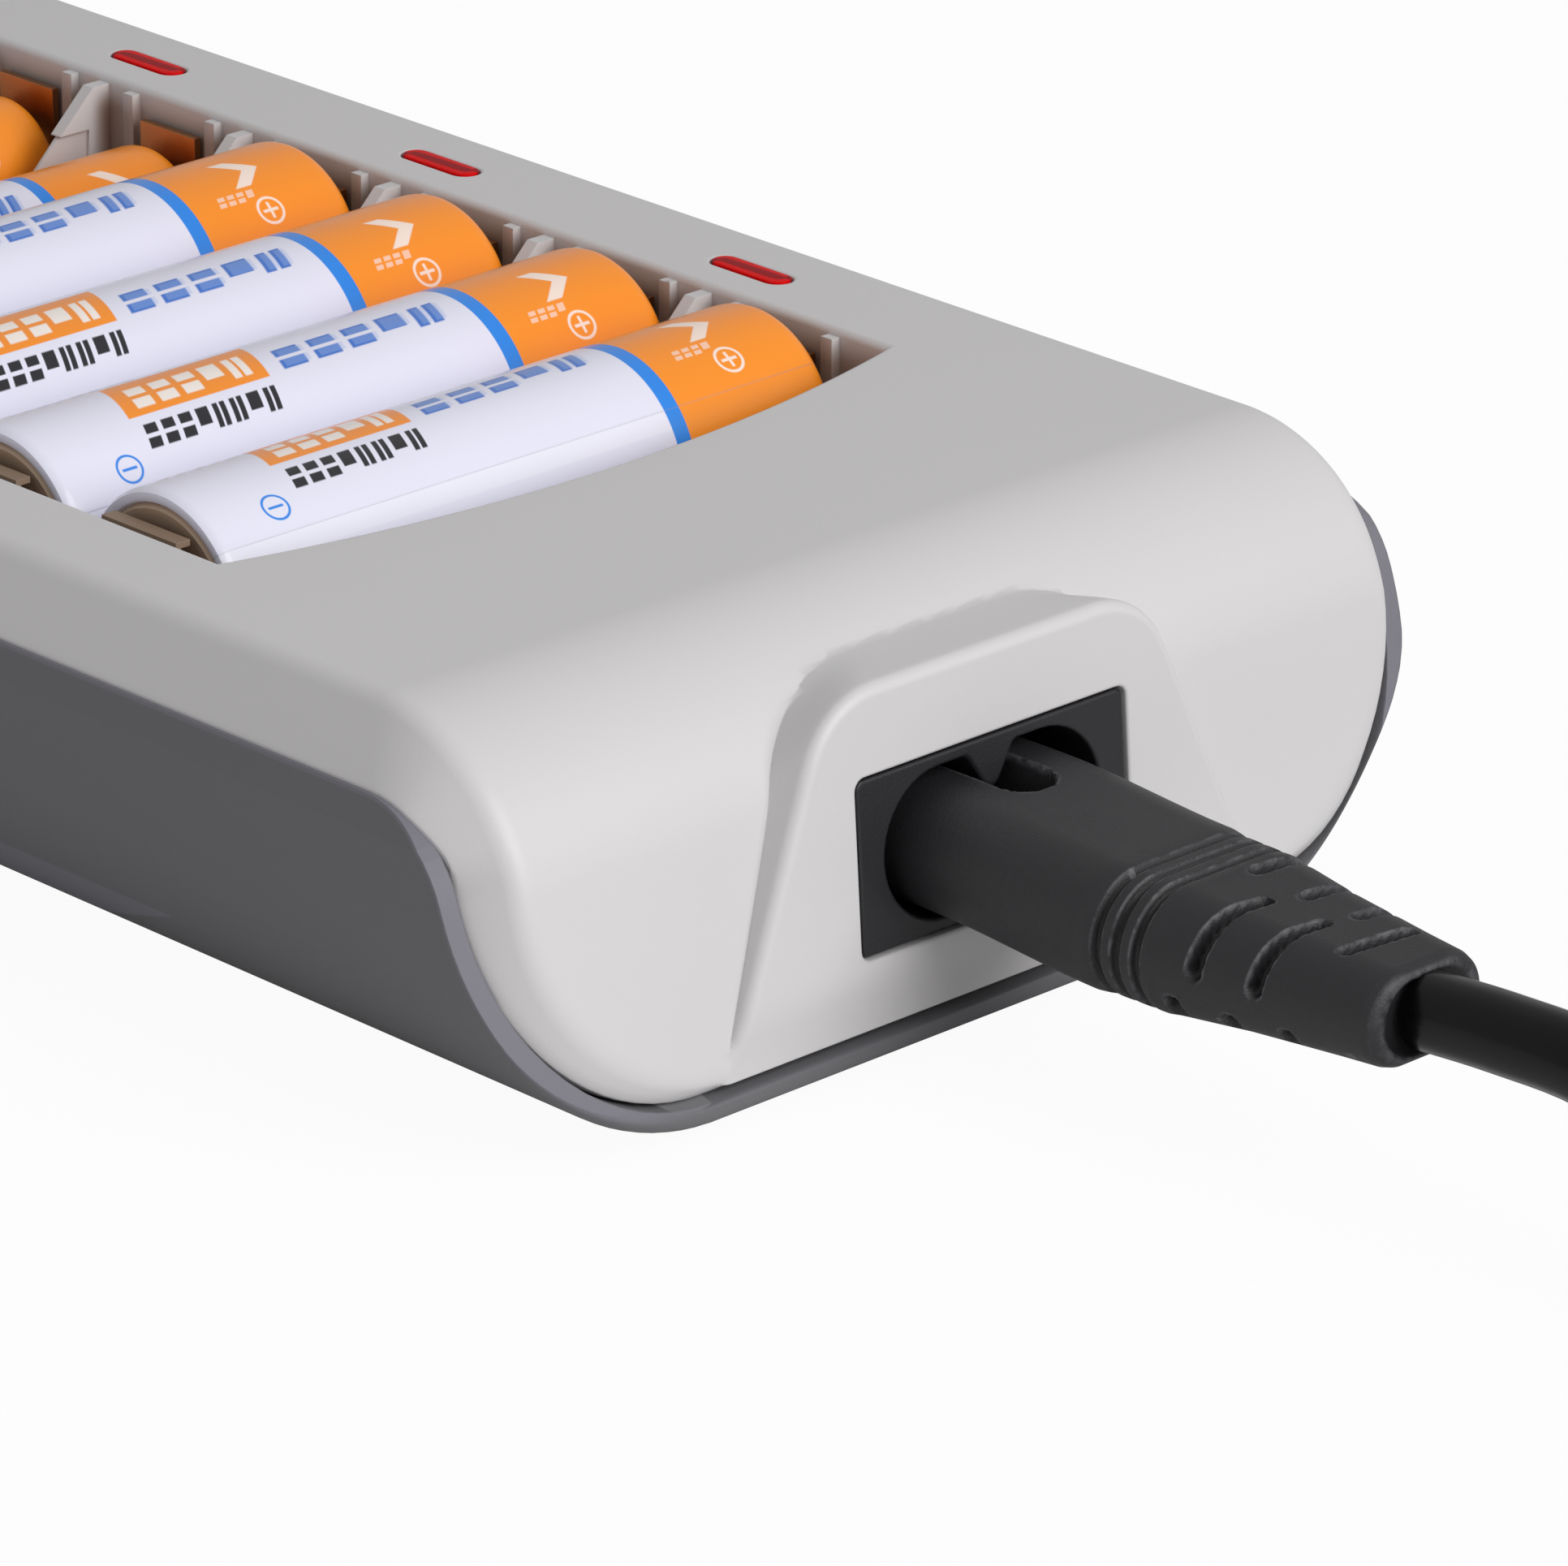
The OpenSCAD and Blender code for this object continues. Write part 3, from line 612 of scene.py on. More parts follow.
# Grey base shell: the CAD moulding inside a form with softened ends
def baseRing(away):
    s = base
    keelY = halfWide - s["keel"]
    keelZ = footRise + s["keel"]

    def inset(radius):
        if away >= radius:
            return s["skin"]
        return s["skin"] + radius - math.sqrt(radius ** 2 - (radius - away) ** 2)

    def side(keelRound, sign):
        line = []
        for i in range(25):
            a = math.radians(-90 + 90 * i / 24)
            bulge = math.sin(2 * math.radians(90 * i / 24))
            plain = mix(s["floorRound"], s["sideRound"], i / 24)
            r = s["keel"] - inset(mix(plain, keelRound, bulge))
            line.append((sign * (keelY + r * math.cos(a)), keelZ + r * math.sin(a)))
        t = inset(s["sideRound"])
        line += [(sign * (halfWide - t), s["seam"] - 2), (sign * (halfWide - 0.7 - t), s["seam"] + 0.3),
                 (sign * (halfWide - 3.2 - t), topZ - 0.8 - t)]
        return line

    ring = side(s["keelFar"], 1) + list(reversed(side(s["keelNear"], -1)))
    return [(halfLen - s["skin"] + shell["lean"] * (footRise - z) - away, y, z) for y, z in ring]


def baseRings():
    biggest = base["keelFar"]
    steps = [biggest * (1 - math.cos(math.radians(90 * i / 16))) for i in range(17)]
    half = [baseRing(away) for away in steps]
    half.append([(halfLen / 2, y, z) for x, y, z in half[-1]])
    return half + mirrored(half)


def makeBaseShell():
    obj = cadCopy("base_shell", "base_shell_skin")
    carve(obj, loft("baseForm", baseRings()), "INTERSECT")
    tidyMesh(obj.data, 0.002)
    evenNormals(obj, shell["sharp"])
    return obj


baseShell = makeBaseShell()
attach(baseShell, "case")
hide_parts("base_shell")
print("base shell made", len(baseShell.data.polygons))


# Light bars
def makeLamp(i):
    low = corners("lens_%d" % i)[0][2]
    high = topZ + lamp["proud"]

    def ring(grow, z):
        return [(x, y, z) for x, y in capsule(lampX[i], grow)]

    rings = [ring(0, low)]
    rings += [ring(-inset, high - 0.6 * deep) for inset, deep in quarterRound(lamp["edge"], 5)]
    obj = loft("light_bar_%d" % i, rings + [ring(-lamp["crown"], high + 0.02)])
    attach(obj, "case")
    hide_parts("lens_%d" % i)
    return obj


lampPieces = [makeLamp(i) for i in range(1, 5)]


# Inlet socket: rounded face plate with a figure eight opening
socket = {"lobe": 4.6, "apart": 4.2, "tongueTop": 3.7, "tongueTip": 0.9, "tongueReach": 2.45, "deep": 13,
          "back": 75.5, "gap": 0.15, "edge": 0.22, "holeEdge": 0.25, "sharp": 38}


def figureEight(grow, count=20):
    s = socket
    lobe = s["lobe"] + grow
    top = s["tongueTop"] / 2 - grow
    tip = s["tongueTip"] / 2
    reach = s["tongueReach"] - grow
    turns = [math.pi * (i / count - 0.5) for i in range(count + 1)]
    right = [(s["apart"] + lobe * math.cos(a), lobe * math.sin(a)) for a in turns]
    upper = [(top + 0.35, lobe), (top, lobe - 0.2), (mix(top, tip, 0.8), mix(lobe, lobe - reach, 0.8)),
             (tip, lobe - reach + 0.15), (tip * 0.5, lobe - reach)]
    right = [(y, -z) for y, z in reversed(upper)] + right + upper
    left = [(-y, z) for y, z in reversed(right)]
    return [(y, inlet["axis"] + z) for y, z in right + left]


def makeSocket():
    s = socket

    def face(z):
        return inlet["face"] - inlet["lean"] * (z - inlet["axis"])

    plate = [[(s["back"], y, z) for y, z in softBox(-s["gap"])]]
    for inset, deep in quarterRound(s["edge"], 3):
        plate.append([(face(z) - deep, y, z) for y, z in softBox(-s["gap"] - inset)])
    obj = loft("inlet_socket_face", plate)
    hole = [[(face(inlet["axis"]) - s["deep"], y, z) for y, z in figureEight(0)]]
    for grow, deep in quarterRound(s["holeEdge"], 4):
        hole.append([(face(z) - deep, y, z) for y, z in figureEight(grow)])
    hole.append([(face(z) + 1, y, z) for y, z in figureEight(s["holeEdge"])])
    carve(obj, loft("socketHole", hole), "DIFFERENCE")
    tidyMesh(obj.data, 0.001)
    evenNormals(obj, s["sharp"])
    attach(obj, "case")
    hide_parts("inlet_socket")
    return obj


socketPiece = makeSocket()


# Lead plug: one dense skin whose grooves, slots and key are pressed in by formula
plug = {
    "zones": ((82, 92, 0.7), (92, 97, 0.14), (97, 104.9, 0.6), (104.9, 123, 0.085), (123, 124.95, 0.12)),
    "axis": 12.65, "low": 11.95, "columns": 184,
    "rings": (105.7, 107.2, 108.7), "ringHalf": 0.33, "ringDeep": 0.55,
    "slots": ((113.0, 0.862, 3.3), (117.1, 0.868, 3.1), (121.0, 0, 2.3), (110.6, 0.145, 3.9),
              (114.7, 0.145, 3.5), (118.4, 0.155, 3.0)),
    "pockets": ((110.9, 0.675, 0.5), (114.6, 0.66, 0.5), (118.6, 0.66, 0.45)),
    "slotHalf": 0.5, "slotDeep": 1.1, "edge": 0.09,
    "key": {"half": 1.85, "centre": 92.75, "floor": 1.5},
    "droopFrom": 91, "droopOver": 14,
    "sizes": [(82, 7.35, 3.9), (91.0, 7.4, 4.0), (104.6, 7.4, 4.0), (105.2, 7.15, 3.93),
              (109.6, 7.05, 3.88), (110.2, 6.88, 3.8), (115.3, 5.95, 3.42), (121.5, 5.1, 3.12),
              (124.1, 4.8, 3.0), (124.6, 4.6, 2.88), (124.85, 4.25, 2.7), (124.95, 3.8, 2.5)],
}


def plugSize(x):
    knots = plug["sizes"]
    for a, b in zip(knots, knots[1:]):
        if x <= b[0]:
            t = (x - a[0]) / (b[0] - a[0])
            return mix(a[1], b[1], t), mix(a[2], b[2], t)
    return knots[-1][1:]


def rounded(distance, half):
    return smoothStep((half + plug["edge"] - distance) / (2 * plug["edge"]))


def plugPress(x, share, around):
    s = plug
    press = max([s["ringDeep"] * rounded(abs(x - c), s["ringHalf"]) for c in s["rings"]])
    for cx, middleShare, half in s["slots"] + s["pockets"]:
        if abs(x - cx) > 1:
            continue
        off = (share - middleShare + 0.5) % 1 - 0.5
        distance = math.hypot(x - cx - off * 3, max(abs(off) * around - half, 0))
        press = max(press, s["slotDeep"] * rounded(distance, s["slotHalf"]))
    return press


def stadium(wide, high, share):
    flat = wide - high
    turn = math.pi * high
    around = 4 * flat + 2 * turn
    run = share * around
    if run < flat or run >= 3 * flat + 2 * turn:
        return around, run if run < flat else run - around, high, 0, 1
    if flat + turn <= run < 3 * flat + turn:
        return around, 2 * flat - run + turn, -high, 0, -1
    right = run < flat + turn
    a = math.pi / 2 - (run - flat) / high if right else -math.pi / 2 - (run - 3 * flat - turn) / high
    ny = math.cos(a)
    nz = math.sin(a)
    return around, (flat if right else -flat) + high * ny, high * nz, ny, nz


def plugPoint(x, share):
    s = plug
    around, y, z, ny, nz = stadium(*plugSize(x), share)
    press = plugPress(x, share, around)
    y -= ny * press
    z -= nz * press
    past = max(x - s["key"]["centre"], 0)
    half = math.sqrt(max(s["key"]["half"] ** 2 - past ** 2, 0))
    if half > 0:
        cut = smoothStep((half + 0.1 - abs(y)) / 0.2)
        z = mix(z, math.copysign(min(abs(z), s["key"]["floor"]), z), cut)
    droop = smoothStep((x - s["droopFrom"]) / s["droopOver"])
    return (x, y, mix(s["axis"], s["low"], droop) + z)


def makePlug():
    s = plug
    xs = []
    for start, end, step in s["zones"]:
        count = round((end - start) / step)
        xs += [mix(start, end, i / count) for i in range(count)]
    xs.append(s["zones"][-1][1])
    rings = [[plugPoint(x, j / s["columns"]) for j in range(s["columns"])] for x in xs]
    last = rings[-1]
    for x, size in ((124.9, 0.93), (124.4, 0.86)):
        rings.append([(x, y * size, s["low"] + (z - s["low"]) * size) for _, y, z in last])
    obj = loft("lead_plug_body", rings, 75)
    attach(obj, "case")
    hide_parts("lead_plug")
    return obj


plugPiece = makePlug()
print("lamps, socket and plug made")


# Cells: turned from a profile, with the print laid out along and around the sleeve
cellForm = {
    "aa": {"r": 7.1, "long": 50.5, "stud": 2.7, "studHigh": 1.2},
    "aaa": {"r": 5.2, "long": 44.5, "stud": 1.9, "studHigh": 0.9},
}


def cellProfile(form):
    r = form["r"]
    b = form["long"] - form["studHigh"]
    s = form["stud"]
    steel = [(0.45, 0), (0.4, r - 3.2), (0.28, r - 2.4), (0.06, r - 1.6), (0.04, r - 1.2), (0.3, r - 0.95)]
    sleeve = [(0.34, r - 0.93), (0.1, r - 0.8), (0.02, r - 0.55), (0.1, r - 0.25), (0.4, r - 0.06),
              (0.8, r)]
    sleeve += [(mix(0.8, b - 1.3, i / 24), r) for i in range(1, 25)]
    sleeve += [(b - 0.95, r - 0.04), (b - 0.62, r - 0.16), (b - 0.34, r - 0.38), (b - 0.14, r - 0.7),
               (b - 0.03, r - 1.15), (b, r - 1.7)]
    cap = [(b - 0.16, r - 1.85), (b - 0.2, s + 0.9), (b - 0.05, s + 0.25), (b + 0.2, s + 0.04),
           (form["long"] - 0.35, s), (form["long"] - 0.1, s - 0.1), (form["long"], s - 0.4),
           (form["long"], s * 0.4), (form["long"] - 0.03, 0)]
    return steel, sleeve, cap


def makeCell(k, kind, columns=112):
    form = cellForm[kind]
    node = "%s_cell_%d" % (kind, k)
    cx, cy, cz = middle(node)
    y0 = corners(node)[0][1]
    steel, sleeve, cap = cellProfile(form)
    stations = steel + sleeve + cap
    points = [(cx, y0 + stations[0][0], cz)]
    for along, r in stations[1:-1]:
        for j in range(columns):
            a = 2 * math.pi * j / columns
            points.append((cx + r * math.sin(a), y0 + along, cz + r * math.cos(a)))
    points.append((cx, y0 + stations[-1][0], cz))
    faces = []
    uvs = []
    slots = []
    count = len(stations)
    printed = range(len(steel), len(steel) + len(sleeve) - 1)

    def vert(i, j):
        if i == 0:
            return 0
        if i == count - 1:
            return len(points) - 1
        return 1 + (i - 1) * columns + j % columns

    for i in range(count - 1):
        for j in range(columns):
            ring = [(i, j), (i + 1, j), (i + 1, j + 1), (i, j + 1)]
            if i == 0:
                ring = [(0, j), (1, j), (1, j + 1)]
            if i == count - 2:
                ring = [(i, j), (i + 1, j), (i, j + 1)]
            faces.append([vert(a, b) for a, b in ring])
            uvs += [(b / columns, stations[a][0] / 100) for a, b in ring]
            slots.append(1 if i in printed else 0)
    mesh = bpy.data.meshes.new(node)
    mesh.from_pydata([(x * mm, y * mm, z * mm) for x, y, z in points], [], faces)
    layer = mesh.uv_layers.new(name="UVMap")
    for loop, place in zip(layer.data, uvs):
        loop.uv = place
    mesh.polygons.foreach_set("material_index", slots)
    obj = link(node + "_print", mesh)
    sharpen(obj, 38)
    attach(obj, "case")
    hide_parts(node)
    return obj


cellPieces = {k: makeCell(k, "aaa" if k < 5 else "aa") for k in range(1, 9)}
print("cells made")


# Mains plug, its pins and the tie round the coil
mainsPlug = {
    "y": 57, "z": 7, "pinApart": 9.2, "sleeveEnd": 9.2,
    "collar": [(152, 3.0, 3.0, 2), (151.8, 3.2, 3.2, 2)],
    "strain": {"from": 151.5, "step": 0.33, "count": 27, "pitch": 1.65, "deep": 0.35, "grooveFrom": 143,
               "grooveAt": 0.8, "grooveWide": 0.6, "edge": 0.2, "thin": 3.25, "wide": 4.45},
    "body": [(142.6, 4.9, 4.6, 2.2), (142.0, 5.9, 5.0, 2.8), (141.3, 6.6, 5.25, 3.2), (139, 8.4, 5.6, 3.8),
             (136, 10.8, 6.0, 4.2), (133, 13.2, 6.35, 4.6), (130, 15.3, 6.6, 4.8), (127.5, 16.8, 6.74, 5),
             (125, 17.45, 6.78, 5), (123.4, 17.5, 6.78, 5), (122.7, 17.35, 6.65, 5), (122.25, 16.9, 6.3, 5),
             (122.0, 16.2, 5.7, 5)],
    "pin": [(0, 0.9), (0.25, 1.5), (0.8, 1.86), (1.6, 2.0), (9, 2.0), (9.05, 1.92), (9.3, 1.92),
            (9.35, 2.0)],
    "pinRoot": (122.4, 2.0),
}


def roundedRing(x, wide, high, power, count=64):
    ring = []
    for i in range(count):
        a = 2 * math.pi * i / count
        c = math.cos(a)
        d = math.sin(a)
        y = math.copysign(abs(c) ** (2 / power), c) * wide
        z = math.copysign(abs(d) ** (2 / power), d) * high
        ring.append((x, mainsPlug["y"] + y, mainsPlug["z"] + z))
    return ring


def makeMainsPlug():
    s = mainsPlug["strain"]
    stations = list(mainsPlug["collar"])
    for i in range(s["count"]):
        x = s["from"] - i * s["step"]
        place = (x - s["grooveFrom"]) % s["pitch"]
        groove = s["deep"] * pulse(place, s["grooveAt"], s["grooveWide"], s["edge"])
        wide = mix(s["thin"], s["wide"], i / (s["count"] - 1)) - groove
        stations.append((x, wide, wide, 2))
    stations += mainsPlug["body"]
    obj = loft("mains_plug_body", [roundedRing(x, w, h, p) for x, w, h, p in stations], 50)
    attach(obj, "case")
    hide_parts("mains_plug")
    return obj


def makeMainsPin(side, index):
    s = mainsPlug
    low = corners("mains_pins")[0][0]
    y = s["y"] + side * s["pinApart"]
    stations = [(low + x, r) for x, r in s["pin"]] + [s["pinRoot"]]
    turns = [2 * math.pi * i / 40 for i in range(40)]
    rings = [[(x, y + r * math.cos(a), s["z"] + r * math.sin(a)) for a in turns] for x, r in stations]
    obj = loft("mains_pin_%d" % index, rings, 40)
    for face in obj.data.polygons:
        face.material_index = 1 if face.center[0] > (low + s["sleeveEnd"]) * mm else 0
    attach(obj, "case")
    return obj


tie = {"half": 2.9, "round": 0.2, "thick": 0.75, "square": 0.34, "steps": 72, "inset": 0.72, "press": 0.75,
       "wave": 0.05, "lift": 0.06, "under": 0.4}


def makeTie():
    s = tie
    low, high = corners("lead_tie")
    cx, cy, cz = middle("lead_tie")
    halfX = (high[0] - low[0]) / 2 - s["inset"]
    halfZ = (high[2] - low[2]) / 2 - s["inset"]
    inner = s["half"] - s["round"]
    outer = s["thick"] - s["round"]
    section = [(0, -s["half"]), (outer, -s["half"]), (s["thick"], -inner), (s["thick"], inner),
               (outer, s["half"]), (0, s["half"])]
    points = []
    for i in range(s["steps"]):
        a = 2 * math.pi * i / s["steps"]
        c = math.copysign(abs(math.cos(a)) ** s["square"], math.cos(a))
        d = math.copysign(abs(math.sin(a)) ** s["square"], math.sin(a))
        for out, y in section:
            grow = out * s["press"] + s["wave"] * math.cos(3 * a)
            floor = s["lift"] + s["under"] * (s["thick"] - out)
            points.append((cx + c * (halfX + grow), cy + y, max(cz + d * (halfZ + grow), floor)))
    size = len(section)
    faces = ringFaces(s["steps"], size, capped=False)
    last = (s["steps"] - 1) * size
    faces += [(last + j, last + (j + 1) % size, (j + 1) % size, j) for j in range(size)]
    obj = meshPiece("lead_tie_band", points, faces, 50)
    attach(obj, "case")
    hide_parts("lead_tie")
    return obj


mainsPiece = makeMainsPlug()
pinPieces = [makeMainsPin(-1, 1), makeMainsPin(1, 2)]
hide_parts("mains_pins")
tiePiece = makeTie()
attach(cordPiece, "case")
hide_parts("lead_cord", "lead_coil")


# Material helpers
def linear(*colour):
    parts = []
    for c in colour:
        v = c / 255
        parts.append(v / 12.92 if v <= 0.04045 else ((v + 0.055) / 1.055) ** 2.4)
    return (*parts, 1)


def feed(tree, socket, value):
    if isinstance(value, (int, float, tuple)):
        socket.default_value = value
    else:
        tree.links.new(value, socket)


def newGroup(name, inputs, *outputs):
    tree = bpy.data.node_groups.new(name, "ShaderNodeTree")
    for title, value in inputs.items():
        kind = "NodeSocketColor" if isinstance(value, tuple) else "NodeSocketFloat"
        item = tree.interface.new_socket(name=title, in_out="INPUT", socket_type=kind)
        item.default_value = value
    for title in outputs:
        kind = "NodeSocketColor" if title == "Color" else "NodeSocketFloat"
        tree.interface.new_socket(name=title, in_out="OUTPUT", socket_type=kind)
    start = tree.nodes.new("NodeGroupInput")
    end = tree.nodes.new("NodeGroupOutput")
    return tree, start.outputs, end.inputs


def calc(tree, operation, *values):
    node = tree.nodes.new("ShaderNodeMath")
    node.operation = operation
    for socket, value in zip(node.inputs, values):
        feed(tree, socket, value)
    return node.outputs[0]


def plus(tree, a, b):
    return calc(tree, "ADD", a, b)


def minus(tree, a, b):
    return calc(tree, "SUBTRACT", a, b)


def times(tree, first, *others):
    for value in others:
        first = calc(tree, "MULTIPLY", first, value)
    return first


def ease(tree, value, low, high):
    node = tree.nodes.new("ShaderNodeMapRange")
    node.interpolation_type = "SMOOTHSTEP"
    for socket, item in zip(node.inputs, (value, low, high)):
        feed(tree, socket, item)
    return node.outputs[0]


def blendColour(tree, share, first, second, mode="MIX"):
    node = tree.nodes.new("ShaderNodeMix")
    node.data_type = "RGBA"
    node.blend_type = mode
    for i, value in ((0, share), (6, first), (7, second)):
        feed(tree, node.inputs[i], value)
    return node.outputs[2]


def noise(tree, place, scale, detail, rough):
    node = tree.nodes.new("ShaderNodeTexNoise")
    for title, value in (("Vector", place), ("Scale", scale), ("Detail", detail), ("Roughness", rough)):
        feed(tree, node.inputs[title], value)
    return node.outputs["Fac"]


def objectPlace(tree):
    return tree.nodes.new("ShaderNodeTexCoord").outputs["Object"]


def pointiness(tree):
    return tree.nodes.new("ShaderNodeNewGeometry").outputs["Pointiness"]


def axes(tree, vector):
    parts = tree.nodes.new("ShaderNodeSeparateXYZ")
    tree.links.new(vector, parts.inputs[0])
    return parts.outputs


groups = {}


def useGroup(tree, key, **values):
    node = tree.nodes.new("ShaderNodeGroup")
    node.node_tree = groups[key]
    for title, value in values.items():
        feed(tree, node.inputs[title.replace("_", " ")], value)
    return node.outputs


# Fine moulded grain: a height for bump and a slow drift for colour and gloss
def makeGrainGroup():
    scales = {"Grain Scale": 4000, "Drift Scale": 40, "Wave Scale": 120}
    tree, start, end = newGroup("mouldedGrain", scales, "Height", "Drift", "Speck")
    place = objectPlace(tree)
    fine = noise(tree, place, start["Grain Scale"], 3, 0.6)
    drift = noise(tree, place, start["Drift Scale"], 3, 0.55)
    wave = noise(tree, place, start["Wave Scale"], 2, 0.5)
    feed(tree, end["Height"], calc(tree, "MULTIPLY_ADD", wave, 0.35, fine))
    feed(tree, end["Drift"], drift)
    feed(tree, end["Speck"], ease(tree, fine, 0.62, 0.75))
    return tree


# Drift of a colour: darker and lighter patches, with rare pale specks
def makeToneGroup():
    inputs = {"Color": (1, 1, 1, 1), "Drift": 0.5, "Speck": 0, "Amount": 0.05}
    tree, start, end = newGroup("toneDrift", inputs, "Color")
    centred = minus(tree, start["Drift"], 0.5)
    gain = calc(tree, "MULTIPLY_ADD", centred, start["Amount"], 1)
    gain = plus(tree, gain, times(tree, start["Speck"], start["Amount"], 0.5))
    shade = tree.nodes.new("ShaderNodeCombineColor")
    for i in range(3):
        tree.links.new(gain, shade.inputs[i])
    feed(tree, end["Color"], blendColour(tree, 1.0, start["Color"], shade.outputs[0], "MULTIPLY"))
    return tree


# Wear on raised edges, or painted shade in grooves when it starts above its end, broken up by noise
def makeWearShadeGroup():
    tree, start, end = newGroup("edgeWearGrooveShade", {"Start": 0.53, "End": 0.6, "Break Scale": 900}, "Mask")
    edge = ease(tree, pointiness(tree), start["Start"], start["End"])
    broken = ease(tree, noise(tree, objectPlace(tree), start["Break Scale"], 3, 0.7), 0.35, 0.65)
    feed(tree, end["Mask"], times(tree, edge, broken))
    return tree


# How far a point lies past the line where the grey shell ends, seen from the side
def makeLipGroup():
    tree, start, end = newGroup("lipEdge", {"Centre X": 0, "Centre Z": 0, "Radius": 1, "Slant": 0}, "Mask")
    place = axes(tree, objectPlace(tree))
    slant = start["Slant"]
    x = minus(tree, calc(tree, "ABSOLUTE", place[0]), start["Centre X"])
    z = minus(tree, place[2], start["Centre Z"])
    right = calc(tree, "MAXIMUM", x, 0)
    above = calc(tree, "MAXIMUM", minus(tree, z, times(tree, x, slant)), 0)
    ring = calc(tree, "SQRT", plus(tree, times(tree, right, right), times(tree, z, z)))
    turn = calc(tree, "ARCTANGENT", slant)
    line = plus(tree, times(tree, x, calc(tree, "COSINE", turn)), times(tree, z, calc(tree, "SINE", turn)))
    onRing = calc(tree, "GREATER_THAN", above, 0)
    away = plus(tree, times(tree, ring, onRing), times(tree, line, minus(tree, 1, onRing)))
    away = minus(tree, away, start["Radius"])
    feed(tree, end["Mask"], ease(tree, away, *[v * mm for v in lip["fade"]]))
    return tree


# One where a value lies between two others, with soft ends
def makeBandGroup():
    tree, start, end = newGroup("bandMask", {"Value": 0, "Low": 0, "High": 1, "Soft": 0.05}, "Mask")
    low = start["Low"]
    high = start["High"]
    soft = start["Soft"]
    up = ease(tree, start["Value"], minus(tree, low, soft), plus(tree, low, soft))
    down = ease(tree, start["Value"], minus(tree, high, soft), plus(tree, high, soft))
    feed(tree, end["Mask"], times(tree, up, minus(tree, 1, down)))
    return tree


def band(tree, value, low, high, soft):
    return useGroup(tree, "band", Value=value, Low=low, High=high, Soft=soft)["Mask"]


# A row of slanted blocks, each cut in its own way from its number in the row
blocks = {"slant": 0.28, "wide": (0.1, 0.82), "high": (0.03, 0.97), "split": (0.42, 0.58),
          "top": (0.72, 1.2), "slit": (0.4, 0.52), "firstShare": 0.38, "secondShare": 0.7, "soft": 0.03}


def makeRowGroup():
    s = blocks
    inputs = {"Along": 0, "Up": 0, "Pitch": 1.5, "High": 1.8, "Count": 8}
    tree, start, end = newGroup("blockRow", inputs, "Mask")
    along = calc(tree, "MULTIPLY_ADD", start["Up"], s["slant"], start["Along"])
    place = calc(tree, "DIVIDE", along, start["Pitch"])
    number = calc(tree, "FLOOR", place)
    within = minus(tree, place, number)
    up = calc(tree, "DIVIDE", start["Up"], start["High"])
    block = times(tree, band(tree, within, *s["wide"], 0.035), band(tree, up, *s["high"], 0.04))
    chance = calc(tree, "FRACT", times(tree, calc(tree, "SINE", times(tree, number, 12.9)), 43.7))
    first = calc(tree, "LESS_THAN", chance, s["firstShare"])
    second = calc(tree, "GREATER_THAN", chance, s["secondShare"])
    third = minus(tree, minus(tree, 1, first), second)
    split = times(tree, band(tree, up, *s["split"], s["soft"]), first)
    top = times(tree, band(tree, up, *s["top"], s["soft"]), second)
    slit = times(tree, band(tree, within, *s["slit"], s["soft"]), third)
    cut = plus(tree, plus(tree, split, top), slit)
    row = band(tree, place, 0, start["Count"], 0.02)
    feed(tree, end["Mask"], times(tree, block, minus(tree, 1, cut), row))
    return tree


# A ring with a minus or a plus in it
def makeSignGroup():
    inputs = {"Along": 0, "Around": 0, "Radius": 0.95, "Line": 0.16, "Cross": 0}
    tree, start, end = newGroup("ringSign", inputs, "Mask")
    x = start["Along"]
    y = start["Around"]
    radius = start["Radius"]
    away = calc(tree, "SQRT", plus(tree, times(tree, x, x), times(tree, y, y)))
    ring = band(tree, away, minus(tree, radius, start["Line"]), radius, 0.05)
    half = times(tree, start["Line"], 0.55)
    reach = times(tree, radius, 0.58)
    sizeX = calc(tree, "ABSOLUTE", x)
    sizeY = calc(tree, "ABSOLUTE", y)
    bar = times(tree, band(tree, sizeY, -1, half, 0.05), band(tree, sizeX, -1, reach, 0.05))
    other = times(tree, band(tree, sizeX, -1, half, 0.05), band(tree, sizeY, -1, reach, 0.05))
    other = times(tree, other, start["Cross"])
    feed(tree, end["Mask"], calc(tree, "MAXIMUM", calc(tree, "MAXIMUM", ring, bar), other))
    return tree


groupMakers = {"grain": makeGrainGroup, "tone": makeToneGroup, "wearShade": makeWearShadeGroup, "lip": makeLipGroup,
               "band": makeBandGroup, "row": makeRowGroup, "sign": makeSignGroup}
for key, maker in groupMakers.items():
    groups[key] = maker()


def newMaterial(name):
    material = bpy.data.materials.new(name)
    material.use_nodes = True
    tree = material.node_tree
    return material, tree, tree.nodes["Principled BSDF"].inputs


def bumpInto(tree, shader, height, distance, normal=None):
    bump = tree.nodes.new("ShaderNodeBump")
    bump.inputs["Strength"].default_value = 1
    bump.inputs["Distance"].default_value = distance * mm
    tree.links.new(height, bump.inputs["Height"])
    if normal is not None:
        tree.links.new(normal, bump.inputs["Normal"])
    tree.links.new(bump.outputs["Normal"], shader["Normal"])


def softEdge(tree, radius):
    node = tree.nodes.new("ShaderNodeBevel")
    node.samples = 4
    node.inputs["Radius"].default_value = radius * mm
    return node.outputs["Normal"]
